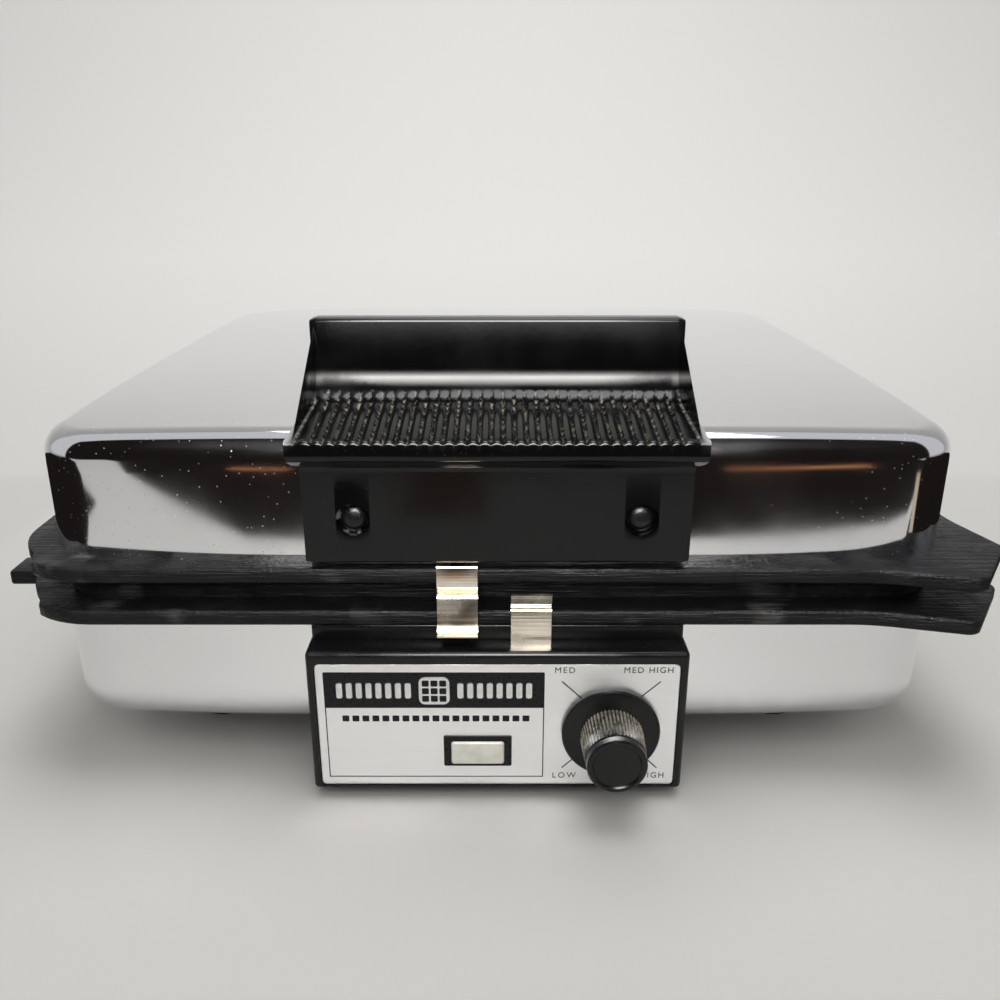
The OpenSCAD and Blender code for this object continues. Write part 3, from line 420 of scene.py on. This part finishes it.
def baseShell():
    look = shellLook
    bm, face = pressedShell(look["baseTop"], look["baseEdge"], look["baseTop"] - look["baseFoot"], False)
    for v in bm.verts:
        v.co.y += bowBack(v.co.x, v.co.y)
    bmesh.ops.recalc_face_normals(bm, faces=bm.faces)
    bmesh.ops.solidify(bm, geom=bm.faces[:], thickness=look["wall"])
    return asMesh(bm, "base_chrome", 40, False)


store("lid_chrome", lidShell(), "lid_unit", [chrome], ["lid_shell"])
store("base_chrome", baseShell(), "base_unit", [chrome], ["base_shell"])
print("shells made")


# cast grids

gridLook = {
    "halfWidth": 159, "front": -133.2, "rear": 146.8, "corner": 30, "thick": 5.2, "edge": 1.1,
    "rimX": 144.5, "rimFront": -125.7, "rimRear": 141.3, "rimCorner": 17.2, "rimWall": 5, "rimHeight": 4.5,
    "pan": 9.5, "plate": 3.3, "backRim": 5.5, "peg": 11, "pegHeight": 6.5, "perSide": 6, "divider": 4.5,
    "spout": ((118, -133.2), (148, -140.6), (166.4, -122.2), (159, -92.2)),
}


def castGrid():  # baking side down at z = 0, as the upper grid lies
    look = gridLook
    bm = bmesh.new()
    x, y0, y1 = look["halfWidth"], look["front"], look["rear"]
    points = [(-x, y0), *look["spout"], (x, y1), (-x, y1)]
    top = look["rimHeight"] + look["thick"]
    rounds = [(0, look["corner"], 12), (1, 6, 3), (2, 2.5, 3), (3, 2.5, 3), (4, 6, 3), (5, look["corner"], 12),
              (6, look["corner"], 12)]
    flange = facing(outline(bm, [(px, py, look["rimHeight"]) for px, py in points], rounds), bm, True)
    outer = list(flange.edges)
    hole = roundedFace(bm, -look["rimX"] + 2, look["rimX"] - 2, look["rimFront"] + 2, look["rimRear"] - 2,
                       look["rimHeight"], look["rimCorner"] - 2, 8)
    inner = list(hole.edges)
    bmesh.ops.delete(bm, geom=[flange, hole], context="FACES_ONLY")
    ring = bmesh.ops.triangle_fill(bm, use_beauty=True, edges=outer + inner)["geom"]
    ring = [g for g in ring if isinstance(g, bmesh.types.BMFace)]
    extrude(bm, ring, (0, 0, look["thick"]))
    rimEdges = []
    for e in bm.edges:
        if len(e.link_faces) != 2 or e.calc_face_angle(0) <= 1.0 or abs(e.verts[0].co.z - e.verts[1].co.z) >= 0.1:
            continue
        farX = max(abs(v.co.x) for v in e.verts) > look["rimX"] + 1
        farFront = min(v.co.y for v in e.verts) < look["rimFront"] - 1
        farRear = max(v.co.y for v in e.verts) > look["rimRear"] + 1
        if farX or farFront or farRear:
            rimEdges.append(e)
    bmesh.ops.bevel(bm, geom=rimEdges, offset=look["edge"], segments=3, profile=0.5, affect="EDGES", material=-1)
    # rim and pan, from the parting face down to the plate
    face = roundedFace(bm, -look["rimX"], look["rimX"], look["rimFront"], look["rimRear"], look["rimHeight"] + 2,
                       look["rimCorner"], 8, False)
    stepIn(bm, face, 0, look["rimHeight"] + 1.2)
    stepIn(bm, face, 0.8, 0.8)
    stepIn(bm, face, look["rimWall"] - 1.3, 0)
    stepIn(bm, face, 0.6, -0.6)
    stepIn(bm, face, 1.2, -(look["pan"] - 1.4))
    stepIn(bm, face, 0.8, -0.8)
    back = roundedFace(bm, -look["rimX"], look["rimX"], look["rimFront"], look["rimRear"], look["rimHeight"] + 2,
                       look["rimCorner"], 8, True)
    stepIn(bm, back, 0, top + look["backRim"] - look["rimHeight"] - 2)
    stepIn(bm, back, look["rimWall"], 0)
    stepIn(bm, back, 0, -(top + look["backRim"] - look["pan"] - look["plate"]))
    # pegs and the two ribs
    middle = (look["rimFront"] + look["rimRear"]) / 2
    spanX = (2 * look["rimX"] - 2 * look["rimWall"] - look["divider"]) / 2
    spanY = (look["rimRear"] - look["rimFront"] - 2 * look["rimWall"] - look["divider"]) / 2
    low, high, half = look["pan"] - look["pegHeight"], look["pan"] + 0.3, look["peg"] / 2
    for side in (-1, 1):
        for end in (-1, 1):
            for i in range(look["perSide"]):
                for j in range(look["perSide"]):
                    cx = side * (look["divider"] / 2 + spanX * (i + 0.5) / look["perSide"])
                    cy = middle + end * (look["divider"] / 2 + spanY * (j + 0.5) / look["perSide"])
                    verts = bmesh.ops.create_cube(bm, size=1)["verts"]
                    bmesh.ops.scale(bm, vec=(2 * half, 2 * half, high - low), verts=verts)
                    tips = [v for v in verts if v.co.z < 0]
                    bmesh.ops.scale(bm, vec=(0.86, 0.86, 1), verts=tips)
                    bmesh.ops.translate(bm, vec=(cx, cy, (low + high) / 2), verts=verts)
                    edges = {e for v in verts for e in v.link_edges}
                    edges = [e for e in edges if min(v.co.z for v in e.verts) < low + 1]
                    bmesh.ops.bevel(bm, geom=edges, offset=0.9, segments=2, profile=0.5, affect="EDGES", material=-1)
    inX = look["rimX"] - look["rimWall"]
    inY0, inY1 = look["rimFront"] + look["rimWall"], look["rimRear"] - look["rimWall"]
    box(bm, -inX, inX, middle - 1.3, middle + 1.3, low, high, 0.8)
    box(bm, -1.3, 1.3, inY0, inY1, low, high, 0.8)
    for v in bm.verts:
        if look["rimFront"] - 0.2 < v.co.y < look["rimRear"] + 0.2:
            v.co.y += bowBack(v.co.x, v.co.y)
    return bm


def upperGrid():
    bm = castGrid()
    bmesh.ops.translate(bm, vec=(0, 0, 69.5), verts=bm.verts)
    return asMesh(bm, "upper_grid_cast", 40)


def lowerGrid():
    bm = castGrid()
    bmesh.ops.scale(bm, vec=(1, 1, -1), verts=bm.verts)
    bmesh.ops.translate(bm, vec=(0, 0, 69.2), verts=bm.verts)
    for side in (-1, 1):
        box(bm, min(side * 150, side * 169), max(side * 150, side * 169), -102.7, -89.7, 59.5, 64.7, 1.0)
    return asMesh(bm, "lower_grid_cast", 40)


store("upper_grid_cast", upperGrid(), "lid_unit", [coating], ["upper_grid"])
store("lower_grid_cast", lowerGrid(), "base_unit", [coating], ["lower_grid"])
print("grids made")


# front handle

handleLook = {
    "halfWidth": 59.75, "endRound": 1.3, "flare": 2.6, "foot": 82, "plateFront": -135.5, "back": -127.4,
    "plateTop": 113.2, "ledgeLow": 117.0, "ledgeFront": -143.0, "ledgeTop": 122.8, "ledgeRise": 5.4, "fillet": 8.5,
    "wallFront": -106.7, "wallBack": -98.2, "top": 152, "topCorner": 3.2, "grooves": 33, "grooveEdge": 56.6,
    "grooveDepth": 1.15, "grooveEnd": -109.5, "perGroove": 8,
}


def handleMesh():
    look = handleLook
    bm = bmesh.new()
    lidEdge, lidTop = 9.25, 121.45
    front = shellLook["front"]
    over = [(front + 29, 124.4), (front + 18, 123.2)]
    for a in (88, 70, 52, 34, 17, 0):
        turn = math.radians(a)
        over.append((front + 9 - lidEdge * math.cos(turn), lidTop - lidEdge + lidEdge * math.sin(turn)))
    side = [(look["back"], look["foot"]), (look["plateFront"], look["foot"]), (look["plateFront"], look["plateTop"]),
            (look["ledgeFront"], look["ledgeLow"]), (look["ledgeFront"], look["ledgeTop"]),
            (look["wallFront"], look["ledgeTop"] + look["ledgeRise"]), (look["wallFront"] + 0.4, look["top"]),
            (look["wallBack"], look["top"]), *over]
    rounds = [(7, 2.0, 4), (6, 1.2, 4), (5, look["fillet"], 14), (4, 1.0, 4), (3, 1.6, 4), (2, 2.0, 3), (1, 1.4, 3)]
    face = outline(bm, [(-look["halfWidth"] + look["endRound"], y, z) for y, z in side], rounds)
    ledge = [e for e in face.edges
             if e.calc_length() > 18 and all(122 < v.co.z < 130 and v.co.y < -105 for v in e.verts)]
    bmesh.ops.subdivide_edges(bm, edges=ledge, cuts=12)
    face = bm.faces[:][0]
    face.normal_update()
    if face.normal.x > 0:
        bmesh.ops.reverse_faces(bm, faces=[face])
    inner = look["halfWidth"] - look["endRound"]
    stops = [-inner, -look["grooveEdge"]]
    count = look["grooves"] * look["perGroove"]
    stops += [-look["grooveEdge"] + 2 * look["grooveEdge"] * i / count for i in range(1, count + 1)]
    stops.append(inner)
    cap = [face]
    for left, right in zip(stops, stops[1:]):
        last, cap = cap, extrude(bm, cap, (right - left, 0, 0))
        if left > -inner:
            bmesh.ops.delete(bm, geom=last, context="FACES_ONLY")
    ends = [f for f in bm.faces if len(f.verts) > 8]
    for end in ends:
        roundOver(bm, end, look["endRound"], 4)
    soil = bm.verts.layers.float.new("residue")
    pitch = 2 * look["grooveEdge"] / look["grooves"]
    dull = bm.verts.layers.float.new("dull")
    slope = look["ledgeRise"] / (look["wallFront"] - look["ledgeFront"])
    for v in bm.verts:
        x, y, z = v.co
        onTop = look["ledgeTop"] + slope * (y - look["ledgeFront"])
        lie = z - onTop
        if look["ledgeFront"] - 0.1 < y < look["grooveEnd"] and lie > -1.05 and z < 132:
            back = max(0, min(1, (look["grooveEnd"] - y) / 5))
            down = max(0, min(1, (lie + 1.05) / 0.9))
            if abs(x) <= look["grooveEdge"] + 0.01:
                u = ((x + look["grooveEdge"]) % pitch) / pitch * 2 - 1
                u = min(1, abs(u))
                v.co.z -= look["grooveDepth"] * (1 - math.sqrt(max(0, 1 - u * u * 0.97))) * back * down
                v[soil] = max(0, (u - 0.45) / 0.55) ** 2 * (0.45 + 0.55 * max(0, 1 - abs(y + 115) / 7)) * down
            elif y < -113:
                v[dull] = 0.9 * down
        if y < -108 and 113.5 < z < 130:
            out = (-108 - y) / 35
            v.co.x += math.copysign(look["flare"] * out * max(0, min(1, (abs(x) - 54) / 5)), x)
        reach = abs(x) - (look["halfWidth"] - look["topCorner"])
        if reach > 0:
            curve = look["topCorner"]
            fall = curve - math.sqrt(max(0, curve ** 2 - min(reach, curve) ** 2))
            if z > 140:
                v.co.z -= fall * (z - 140) / 12
            if z < 90:
                v.co.z += fall * 0.7 * (90 - z) / 8
    mesh = asMesh(bm, "handle", 30)
    tools = bmesh.new()
    for s in (-1, 1):
        turned(tools, [(0, -4), (4.6, -4), (5.15, -3.4), (5.15, 8), (0, 8)], forward(s * 43.5, -136.4, 96.1), 40)
    box(tools, -19.4, -5.6, -131.4, -126, 80, 91.8)  # room for the upper clip's foot
    return cut(mesh, tools, "front_handle_moulding")


def screwHeads():
    bm = bmesh.new()
    for s in (-1, 1):
        turned(bm, [(0, -6), (2, -6), (2, 0), (4, 0), (4, 0.7), (3.4, 1.5), (2.2, 2.0), (0, 2.2)],
               forward(s * 43.5, -132.4, 96.1), 40)
    return asMesh(bm, "handle_screw_heads")


darkSteel = plain("blackenedSteel", (0.03, 0.03, 0.031), 0.7, 0.3, 500, 0.4, 0.2)
store("front_handle_moulding", handleMesh(), "lid_unit", [glossBlack], ["front_handle"])
store("handle_screw_heads", screwHeads(), "lid_unit", [darkSteel], ["handle_screws"])
print("handle made")


# control housing, face plate and lamp lens

housingLook = {
    "halfWidth": 60.25, "front": -140.7, "foot": 3.3, "top": 54, "toe": -109.2, "round": 1.7,
    "plateX": 57.6, "plateLow": 4.85, "plateTop": 49.85, "plateFront": -140.2,
    "knobX": 36.3, "knobZ": 25.5, "lens": (-14.95, 2.15, 13.4, 21.8),
    "ticks": ((20.4, 43.6, 26.8, 37.4), (51.5, 43.6, 45.6, 38.1), (20.9, 11.4, 24.6, 15.0), (51.9, 11.4, 48.2, 15.0)),
    "words": (("MED", 21.2, 46.7, 2.9, 1.25), ("MED HIGH", 47.5, 46.7, 2.9, 1.2),
              ("LOW", 21.7, 7.6, 2.9, 1.35), ("HIGH", 50.5, 7.6, 2.9, 1.25)),  # text, x, z, size and spread
}


def housingMesh():
    look = housingLook
    bm = bmesh.new()
    rear = shellLook["front"] - 0.1
    side = [(look["toe"], look["foot"]), (look["front"], look["foot"]), (look["front"], look["top"]),
            (rear, look["top"])]
    for a in (0, 15, 30, 45, 60, 75, 90):  # the back follows the base's round edge
        side.append((rear + 14 * (1 - math.cos(math.radians(a))), 31 - 14.1 * math.sin(math.radians(a))))
    side.append((look["toe"], 16.9))
    face = outline(bm, [(-look["halfWidth"], y, z) for y, z in side])
    extrude(bm, [face], (2 * look["halfWidth"], 0, 0))
    bmesh.ops.recalc_face_normals(bm, faces=bm.faces)
    edges = []
    for e in bm.edges:
        atFront = all(v.co.y < look["front"] + 0.1 for v in e.verts)
        atSide = all(abs(v.co.x) > 60 and not 4 <= v.co.z <= 50 for v in e.verts)
        if atFront or atSide:
            edges.append(e)
    bmesh.ops.bevel(bm, geom=edges, offset=look["round"], segments=4, profile=0.5, affect="EDGES", material=-1)
    face = max((f for f in bm.faces if f.normal.y < -0.99), key=lambda f: f.calc_area())
    stepIn(bm, face, 0.9, 0)
    px, low, top = look["plateX"] + 0.15, look["plateLow"] - 0.15, look["plateTop"] + 0.15  # the plate's recess
    for v in face.verts:
        v.co.x = px if v.co.x > 0 else -px
        v.co.z = top if v.co.z > 28 else low
    bmesh.ops.bevel(bm, geom=face.verts[:], offset=1.8, segments=4, profile=0.5, affect="VERTICES", material=-1)
    face = max((f for f in bm.faces if f.normal.y < -0.99), key=lambda f: f.calc_area())
    stepIn(bm, face, 0, -1.0)
    box(bm, -59.4, 59.4, -131.6, rear + 0.4, 53.4, 59.2, 0.9, 3)  # lip under the lower grid
    return asMesh(bm, "control_housing_moulding", 35)


def plateMesh():
    look = housingLook
    bm = bmesh.new()
    face = roundedFace(bm, -look["plateX"], look["plateX"], look["plateLow"], look["plateTop"], 0, 1.7, 5)
    stepIn(bm, face, 0, 0.35)
    stepIn(bm, face, 0.25, 0.2)
    bmesh.ops.transform(bm, matrix=forward(0, look["plateFront"] + 0.55, 0), verts=bm.verts)
    return asMesh(bm, "face_plate_metal", 30)


def flat(bm, x0, x1, z0, z1, thick, radius=0.0, base=None):  # a raised patch on the face plate
    y = housingLook["plateFront"] if base is None else base
    before = set(bm.verts)
    face = roundedFace(bm, x0, x1, z0, z1, 0, radius, 4)
    stepIn(bm, face, 0, thick * 0.5)
    stepIn(bm, face, min(0.08, thick * 0.5), thick * 0.5)
    made = [v for v in bm.verts if v not in before]
    bmesh.ops.transform(bm, matrix=forward(0, y, 0), verts=made)
    return made


def printMesh():  # everything printed black on the plate
    look = housingLook
    bm = bmesh.new()
    left, right, low, line = -55.0, 14.9, 7.9, 0.35
    flat(bm, left, right, 34.0, 46.9, 0.12, 0.4)
    flat(bm, left, left + line, low, 34.5, 0.06)
    flat(bm, right - line, right, low, 34.5, 0.06)
    flat(bm, left, right, low, low + line, 0.06)
    flat(bm, -17.4, 4.6, 12.4, 23.8, 0.5, 0.6)
    for i in (-1, 0, 1):  # pockets of the little waffle
        for j in (-1, 0, 1):
            flat(bm, -21.1 + 2.75 * i, -18.9 + 2.75 * i, 39.3 + 2.75 * j, 41.5 + 2.75 * j, 0.06, 0.4,
                 look["plateFront"] - 0.48)
    for i in range(19):  # plain row of blocks under the band
        flat(bm, -49.6 + 3.2 * i, -47.4 + 3.2 * i, 29.0, 31.2, 0.06, 0.3)
    for x0, z0, x1, z1 in look["ticks"]:
        run, rise = x1 - x0, z1 - z0
        size = math.hypot(run, rise)
        made = flat(bm, 0, size, -0.2, 0.2, 0.06, 0, 0)
        turn = Matrix.Rotation(-math.atan2(rise, run), 4, "Y")
        bmesh.ops.transform(bm, matrix=Matrix.Translation((x0, look["plateFront"], z0)) @ turn, verts=made)
    return asMesh(bm, "face_plate_print", 30)


def dialWords():
    bm = bmesh.new()
    for text, x, z, size, spread in housingLook["words"]:
        curve = bpy.data.curves.new("word", "FONT")
        curve.body, curve.size, curve.extrude = text, size, 0.04
        curve.space_character, curve.align_x = spread, "CENTER"
        thing = bpy.data.objects.new("word", curve)
        bpy.context.scene.collection.objects.link(thing)
        bpy.context.view_layer.update()
        mesh = bpy.data.meshes.new_from_object(thing.evaluated_get(bpy.context.evaluated_depsgraph_get()))
        mesh.transform(forward(x, housingLook["plateFront"] - 0.04, z))
        bm.from_mesh(mesh)
        bpy.data.objects.remove(thing)
    return asMesh(bm, "face_plate_words", 30)


def bandOrnament():  # embossed bars either side of a little waffle
    bm = bmesh.new()
    base = housingLook["plateFront"] - 0.1
    middle, z = -20.0, 40.4
    for side in (-1, 1):
        for i in range(8):
            x = middle + side * (8.3 + 3.1 * i)
            flat(bm, x - 1.0, x + 1.0, z - 2.7, z + 2.7, 0.4, 0.6, base)
    flat(bm, middle - 4.9, middle + 4.9, z - 4.9, z + 4.9, 0.4, 2.0, base)
    return asMesh(bm, "face_plate_ornament", 30)


def lensMesh():
    x0, x1, z0, z1 = housingLook["lens"]
    bm = bmesh.new()
    face = roundedFace(bm, x0, x1, z0, z1, 0, 0.9, 4)
    stepIn(bm, face, 0, 4.0)
    roundOver(bm, face, 0.8, 4)
    bmesh.ops.transform(bm, matrix=forward(0, -136.6, 0), verts=bm.verts)
    return asMesh(bm, "signal_lens", 30)


store("control_housing_moulding", housingMesh(), "base_unit", [housingBlack], ["control_housing"])
store("face_plate_metal", plateMesh(), "base_unit", [brushed], ["face_plate"])
store("face_plate_print", printMesh(), "base_unit", [printBlack])
store("face_plate_ornament", bandOrnament(), "base_unit", [printSilver])
store("face_plate_words", dialWords(), "base_unit", [printBlack])
store("signal_lens", lensMesh(), "base_unit", [cream], ["lamp_lens"])
print("controls made")


# knob

knobLook = {
    "skirtBack": -140.8, "flutes": 50, "fluteDepth": 0.06, "nubTurn": 45,
    "skirt": [(0, 0), (14.9, 0), (15.6, 0.5), (15.75, 1.1), (15.3, 1.7), (13.5, 2.1), (10.6, 2.5), (9.0, 2.6)],
    "barrel": [(9.6, 2.3), (10.05, 2.8), (9.95, 6), (9.8, 9), (9.65, 12), (9.5, 14.6), (9.3, 15.4), (8.9, 15.9)],
    "cap": [(8.9, 15.9), (9.25, 16.2), (9.3, 17.2), (9.25, 18.4), (8.8, 18.95), (8.1, 19.0), (7.6, 18.75),
            (7.2, 18.2), (5, 17.75), (0, 17.6)],
}


def knobMesh():
    look = knobLook
    x, z = housingLook["knobX"], housingLook["knobZ"]
    bm = bmesh.new()
    soil = bm.verts.layers.float.new("residue")
    turned(bm, look["skirt"], Matrix.Identity(4), 96)
    barrel = turned(bm, look["barrel"], Matrix.Identity(4), look["flutes"] * 4)
    for v in barrel:
        if 2.6 < v.co.z < 15.0:
            turn = math.atan2(v.co.y, v.co.x) / math.tau * look["flutes"]
            u = abs((turn % 1) * 2 - 1)
            out = 1 - look["fluteDepth"] * u
            v.co.x *= out
            v.co.y *= out
            v[soil] = 0.9 * (1 - u) ** 2 * min(1, (15 - v.co.z) / 4)
    turned(bm, look["cap"], Matrix.Identity(4), 96)
    nub = box(bm, 8.8, 15.2, -1.3, 1.3, 1.6, 5.6, 0.5)  # pointer on the skirt
    turn = Matrix.Rotation(math.radians(-look["nubTurn"]), 3, "Z")
    bmesh.ops.rotate(bm, verts=nub, cent=(0, 0, 0), matrix=turn)
    bmesh.ops.transform(bm, matrix=forward(x, look["skirtBack"], z), verts=bm.verts)
    return asMesh(bm, "temperature_knob", 34)


store("temperature_knob", knobMesh(), "knob_unit", [knobBlack], ["control_knob"])
print("knob made")


# spring clips

clipLook = {
    "width": 12.7, "thick": 0.6, "lowerX": 10.6, "upperX": -12.5,
    "lower": [(-128.3, 38), (-128.3, 45), (-134.3, 48), (-134.3, 65.6), (-130.5, 66.3), (-134.9, 68.3),
              (-136.9, 72.9), (-138.2, 73.1)],
    "upper": [(-128.6, 91.2), (-128.6, 80.8), (-134.5, 80.6), (-134.5, 73), (-130.5, 72.4), (-134.9, 70.4),
              (-135.7, 61.5), (-136.9, 58.7), (-138.5, 58.7)],
}


def clipMesh(which):
    look = clipLook
    bm = bmesh.new()
    x = look[which + "X"]
    strip(bm, look[which], x - look["width"] / 2, x + look["width"] / 2, look["thick"])
    return asMesh(bm, which + "_clip_spring", 30)


store("lower_clip_spring_strip", clipMesh("lower"), "lower_clip_spring", [nickel], ["lower_clip"])
store("upper_clip_spring_strip", clipMesh("upper"), "upper_clip_spring", [nickel], ["upper_clip"])
print("clips made")


# CAD nodes that keep their shape

slotOf = {part["node"]: part["material_slot"] for part in frame["record"]["subparts"]}
for name, node in nodes.items():
    finish = finishBySlot.get(slotOf.get(name), finishBySlot["hardware_steel"])
    for place in node.material_slots:
        place.material = finish
print("CAD nodes finished:", len(slotOf))


# camera, floor and light

cameraLook = {"place": (0.8, -394.7, 196), "down": 19.8, "lens": 33.264, "sensor": 36}

camera = bpy.data.objects.new("camera", bpy.data.cameras.new("camera"))
camera.data.lens = cameraLook["lens"]
camera.data.sensor_width = cameraLook["sensor"]
camera.data.clip_start = 0.02
camera.location = Vector(cameraLook["place"]) * mm
camera.rotation_euler = (math.radians(90 - cameraLook["down"]), 0, 0)
bpy.context.scene.collection.objects.link(camera)
bpy.context.scene.camera = camera


# a sheet seen only in glossy reflections: it paints a reflection and lights or shades nothing
def card(name, corners, finish):
    bm = bmesh.new()
    bm.faces.new([bm.verts.new(Vector(c)) for c in corners])
    mesh = bpy.data.meshes.new(name)
    bm.to_mesh(mesh)
    bm.free()
    mesh.materials.append(finish)
    thing = bpy.data.objects.new(name, mesh)
    bpy.context.scene.collection.objects.link(thing)
    thing.visible_camera = thing.visible_diffuse = thing.visible_shadow = False
    thing.visible_transmission = thing.visible_volume_scatter = False


def glow(name, colour, strength):
    mat = bpy.data.materials.new(name)
    mat.use_nodes = True
    tree = mat.node_tree
    tree.nodes.clear()
    lamp = tree.nodes.new("ShaderNodeEmission")
    lamp.inputs["Color"].default_value = (*colour, 1)
    lamp.inputs["Strength"].default_value = strength
    out = tree.nodes.new("ShaderNodeOutputMaterial")
    tree.links.new(lamp.outputs["Emission"], out.inputs["Surface"])
    return mat


stageLook = {
    "wallAt": 1.1, "cove": 0.7, "width": 8, "height": 4,
    "floorTone": (0.43, 0.42, 0.395), "wallTone": (0.66, 0.65, 0.625),
}


def backdrop():  # floor that sweeps up into the wall
    look = stageLook
    bm = bmesh.new()
    path = [(-4, 0), (look["wallAt"] - look["cove"] - 0.02, 0)]
    for i in range(25):
        a = math.radians(90 * i / 24)
        path.append((look["wallAt"] - look["cove"] * (1 - math.sin(a)), look["cove"] * (1 - math.cos(a))))
    path.append((look["wallAt"], look["height"]))
    half = look["width"] / 2
    rows = [[bm.verts.new((x, y, z)) for x in (-half, half)] for y, z in path]
    for near, far in zip(rows, rows[1:]):
        bm.faces.new((near[0], near[1], far[1], far[0]))
    mesh = bpy.data.meshes.new("backdrop")
    bm.to_mesh(mesh)
    bm.free()
    mesh.shade_smooth()
    mat, tree, shader = newFinish("backdropPale", look["wallTone"], 0.0, 0.6)
    shader.inputs["Specular IOR Level"].default_value = 0.2
    depth = tree.nodes.new("ShaderNodeSeparateXYZ")
    tree.links.new(spot(tree), depth.inputs["Vector"])
    back = ramp(tree, depth.outputs["Y"], -0.1, 0.75)
    tree.links.new(blendColour(tree, back, look["floorTone"], look["wallTone"]), shader.inputs["Base Color"])
    mesh.materials.append(mat)
    thing = bpy.data.objects.new("backdrop", mesh)
    bpy.context.scene.collection.objects.link(thing)


def windowGlow(name, strength, low, peak, high):  # glow of the glossy-only window sheets that paint the highlights, strongest at one height
    mat = glow(name, (1.0, 0.985, 0.95), strength)
    tree = mat.node_tree
    height = tree.nodes.new("ShaderNodeSeparateXYZ")
    tree.links.new(spot(tree), height.inputs["Vector"])
    up = ramp(tree, height.outputs["Z"], low, peak)
    down = ramp(tree, height.outputs["Z"], high, peak)
    level = join(tree, "POWER", join(tree, "MULTIPLY", up, down), 2.0)
    tree.links.new(join(tree, "MULTIPLY", level, strength), tree.nodes["Emission"].inputs["Strength"])
    return mat


backdrop()
# glows for the glossy-only sheets below, each of them a painted reflection
dark = glow("darkRoom", (0.010, 0.008, 0.0075), 1.0)
copper = glow("copperLineReflection", (0.55, 0.24, 0.11), 0.9)
clipCopperReflection = glow("clipCopperReflection", (0.36, 0.24, 0.18), 1.0)
gold = glow("goldBandReflection", (0.62, 0.52, 0.38), 0.8)
bright = windowGlow("windowPanel", 42, 0.13, 0.36, 0.95)
faint = windowGlow("windowEdge", 16, 0.13, 0.36, 0.95)
cards = {  # seen in reflections only: painted reflections of a dark room, painted copper and gold reflection lines, a painted coppery reflection on the upper clip, and the bright window that paints the highlights
    # painted dark reflections on the chrome and the black parts
    "darkFloor": (dark, [(-0.15, -0.335, 0.002), (0.60, -0.335, 0.002), (0.9, -1.3, 0.002), (-0.9, -1.3, 0.002),
                         (-0.30, -0.43, 0.002)]),
    "darkLeft": (dark, [(-0.27, 0.2, 0.002), (-0.30, -0.36, 0.002), (-1.4, -0.9, 0.002), (-1.4, 0.2, 0.002)]),
    "darkRight": (dark, [(0.27, 0.2, 0.002), (1.4, 0.2, 0.002), (1.4, -0.9, 0.002), (0.25, -0.27, 0.002)]),
    "darkRoom": (dark, [(-1.6, -0.8, 0), (1.6, -0.8, 0), (1.6, -0.8, 2.6), (-1.6, -0.8, 2.6)]),
    # painted coppery reflection on the upper clip's strip
    "clipCopper": (clipCopperReflection, [(-0.048, -0.275, 0.003), (-0.006, -0.275, 0.003), (-0.006, -0.35, 0.003),
                              (-0.048, -0.35, 0.003)]),
    # painted copper and gold reflection lines on the lid's chrome
    "copperLeft": (copper, [(-0.212, -0.475, 0.003), (-0.150, -0.475, 0.003), (-0.150, -0.492, 0.003),
                            (-0.212, -0.492, 0.003)]),
    "copperRight": (copper, [(0.17, -0.477, 0.003), (0.33, -0.470, 0.003), (0.33, -0.492, 0.003),
                             (0.17, -0.492, 0.003)]),
    "goldRight": (gold, [(0.245, -0.215, 0.003), (0.262, -0.205, 0.003), (0.415, -0.350, 0.003),
                         (0.385, -0.375, 0.003)]),
    # bright window panel, seen only as painted highlights on the handle's fillet, the ledge's scalloped edge and the
    # knob
    "panel": (bright, [(-0.135, -0.55, 0.13), (0.112, -0.55, 0.13), (0.112, -0.55, 0.95), (-0.135, -0.55, 0.95)]),
    "panelEdge": (faint, [(0.112, -0.55, 0.13), (0.146, -0.55, 0.13), (0.146, -0.55, 0.95), (0.112, -0.55, 0.95)]),
}
for name, (finish, corners) in cards.items():
    card(name, corners, finish)


def softLight(name, place, aim, size, power, colour=(1, 1, 1)):
    data = bpy.data.lights.new(name, "AREA")
    data.shape, data.size, data.size_y = "RECTANGLE", size[0], size[1]
    data.energy, data.color = power, colour
    lamp = bpy.data.objects.new(name, data)
    lamp.location = place
    lamp.rotation_euler = (Vector(aim) - Vector(place)).to_track_quat("-Z", "Y").to_euler()
    bpy.context.scene.collection.objects.link(lamp)


softLight("ceiling", (0.05, 0.02, 1.3), (0, 0.0, 0), (0.9, 0.6), 12)
softLight("front", (0, -1.3, 1.5), (0, 0, 0.1), (1.8, 1.0), 12)
world = bpy.data.worlds.new("room")
world.use_nodes = True
world.node_tree.nodes["Background"].inputs["Color"].default_value = (0.90, 0.91, 0.94, 1)
world.node_tree.nodes["Background"].inputs["Strength"].default_value = 0.62
bpy.context.scene.world = world
bpy.context.scene.view_settings.view_transform = "Standard"
print("stage set")
